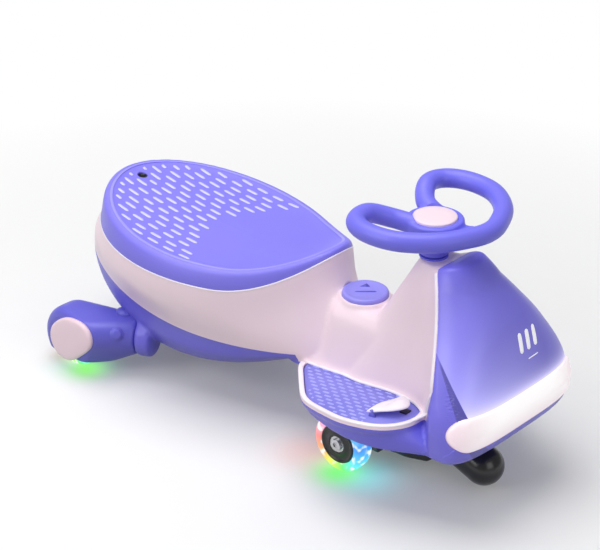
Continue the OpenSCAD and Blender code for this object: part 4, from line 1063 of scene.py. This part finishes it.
plain = {
    "steel": metal("plated_steel", (0.62, 0.62, 0.64), 0.25),
    "bearing_steel": metal("ground_steel", (0.58, 0.59, 0.61), 0.2),
    "bush_plastic": rim_purple,
    "black_plastic": black,
    "purple_plastic": purple,
    "pink_plastic": pink,
    "hub_plastic": black,
    "pad_plastic": pad_purple,
    "roller_rubber": moulded("roller_rubber", (0.03, 0.03, 0.032), (0.04, 0.04, 0.042), 0.7, 0.2),
    "lamp_board": moulded("lamp_board", (0.85, 0.85, 0.82), (0.80, 0.80, 0.78), 0.5),
    "circuit_board": moulded("circuit_board", (0.02, 0.14, 0.05), (0.015, 0.11, 0.04), 0.35),
    "battery_wrap": moulded("battery_wrap", (0.03, 0.12, 0.35), (0.025, 0.10, 0.30), 0.3),
}
slots = {row["node"]: row["material_slot"] for row in frame["record"]["subparts"]}
for name, node in frame["nodes"].items():
    if slots[name] in plain:
        node.data.materials.clear()
        node.data.materials.append(plain[slots[name]])

# A pale floor under soft studio light. The floor fades into the white background away from the car, and
# pools of colour on it stand for the light that the lit wheels throw on the ground.
FLOOR_HALF, FLOOR_Z = 6000, -0.2
POOLS = [(84, 95, 34, 0.30, (1.0, 0.45, 0.40)), (182, 84, 32, 0.50, (0.25, 0.85, 1.0)),
         (148, 99, 24, 0.85, (0.2, 1.0, 0.2)), (-308, 153, 26, 0.30, (0.55, 0.95, 1.0)),
         (-282, 142, 22, 0.80, (0.3, 1.0, 0.15))]
floor_paint = bpy.data.materials.new("floor")
floor_paint.use_nodes = True
tree = floor_paint.node_tree
tree.nodes.remove(tree.nodes["Principled BSDF"])
rays = tree.nodes.new("ShaderNodeLightPath").outputs
seen = Wire(rays["Is Camera Ray"])
for ray in ("Is Glossy Ray", "Is Transmission Ray"):
    seen = seen.math("MAXIMUM", seen, Wire(rays[ray]))
spot = Wire(tree.nodes.new("ShaderNodeTexCoord").outputs["Object"])
reach = spot.node("VectorMath", {"operation": "LENGTH"}, {0: spot}, 1).between(0.45, 1.1)
paint = spot.noise(12).mixed((0.90, 0.90, 0.905, 1), (0.92, 0.92, 0.922, 1))
matt = spot.node("BsdfDiffuse", {}, {0: seen.mixed((0.42, 0.42, 0.43, 1), paint)})
white = spot.node("Emission", {}, {0: (1, 1, 1, 1)})
share = seen * (0.10 + 0.90 * reach)
ground = share.node("MixShader", {}, {0: share, 1: matt, 2: white})
for x, y, wide, strength, colour in POOLS:
    for side in (-1, 1):
        centre = (x * MM, side * y * MM, 0)
        away = spot.node("VectorMath", {"operation": "DISTANCE"}, {0: spot, 1: centre}, 1) / (wide * MM)
        pool = away.math("POWER", 0.5, away * away) * strength
        hue = pool.node("Emission", {}, {0: (*colour, 1)})
        ground = pool.node("MixShader", {}, {0: pool, 1: ground, 2: hue})
tree.links.new(ground.socket, tree.nodes["Material Output"].inputs[0])
corners = [(FLOOR_HALF * u, FLOOR_HALF * v, FLOOR_Z) for u, v in SQUARE]
floor = solid("floor", (corners, [(0, 1, 2, 3)]))
floor.data.materials.append(floor_paint)
floor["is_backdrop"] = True

# A white surround fills the shade; it looks brighter than the light it gives. Three soft lamps hang above
# the car, at the left of the view and ahead of the car.
AIM = Vector((0, 0, 0.15))
world = bpy.data.worlds.new("studio")
bpy.context.scene.world = world
world.use_nodes = True
tree = world.node_tree
rays = tree.nodes.new("ShaderNodeLightPath").outputs
seen = Wire(rays["Is Camera Ray"])
seen = seen.math("MAXIMUM", seen, Wire(rays["Is Transmission Ray"]))
tree.links.new((seen * 0.65 + 0.35).socket, tree.nodes["Background"].inputs["Strength"])
tree.nodes["Background"].inputs["Color"].default_value = (1, 1, 1, 1)


def lamp(name, at, power, size):
    """A soft square lamp that points at the car."""
    light = bpy.data.lights.new(name, "AREA")
    light.energy = power
    light.size = size
    holder = bpy.data.objects.new(name, light)
    bpy.context.scene.collection.objects.link(holder)
    holder.location = at
    holder.rotation_euler = (Vector(at) - AIM).to_track_quat("Z", "Y").to_euler()


lamp("overhead", (-0.3, -0.1, 2.2), 33, 1.8)
lamp("left", (-0.6, -2.2, 1.4), 20, 1.4)
lamp("front", (2.2, -0.6, 1.0), 7, 1.2)

# The camera stands where the photograph was taken from: ahead of the car, to its right and above it, with
# a long lens.
camera = bpy.data.objects.new("camera", bpy.data.cameras.new("camera"))
bpy.context.scene.collection.objects.link(camera)
azimuth, elevation = math.radians(42.5), math.radians(27.5)
level = math.cos(elevation)
back = Vector((math.sin(azimuth) * level, -math.cos(azimuth) * level, math.sin(elevation)))
camera.location = Vector((0, -0.007, 0.196)) + 2.4 * back
camera.rotation_euler = back.to_track_quat("Z", "Y").to_euler()
camera.data.lens = 110.1
bpy.context.scene.camera = camera
bpy.context.scene.view_settings.view_transform = "Standard"

boxes = [[list(corner) for corner in box] for box in (cad_box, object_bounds())]
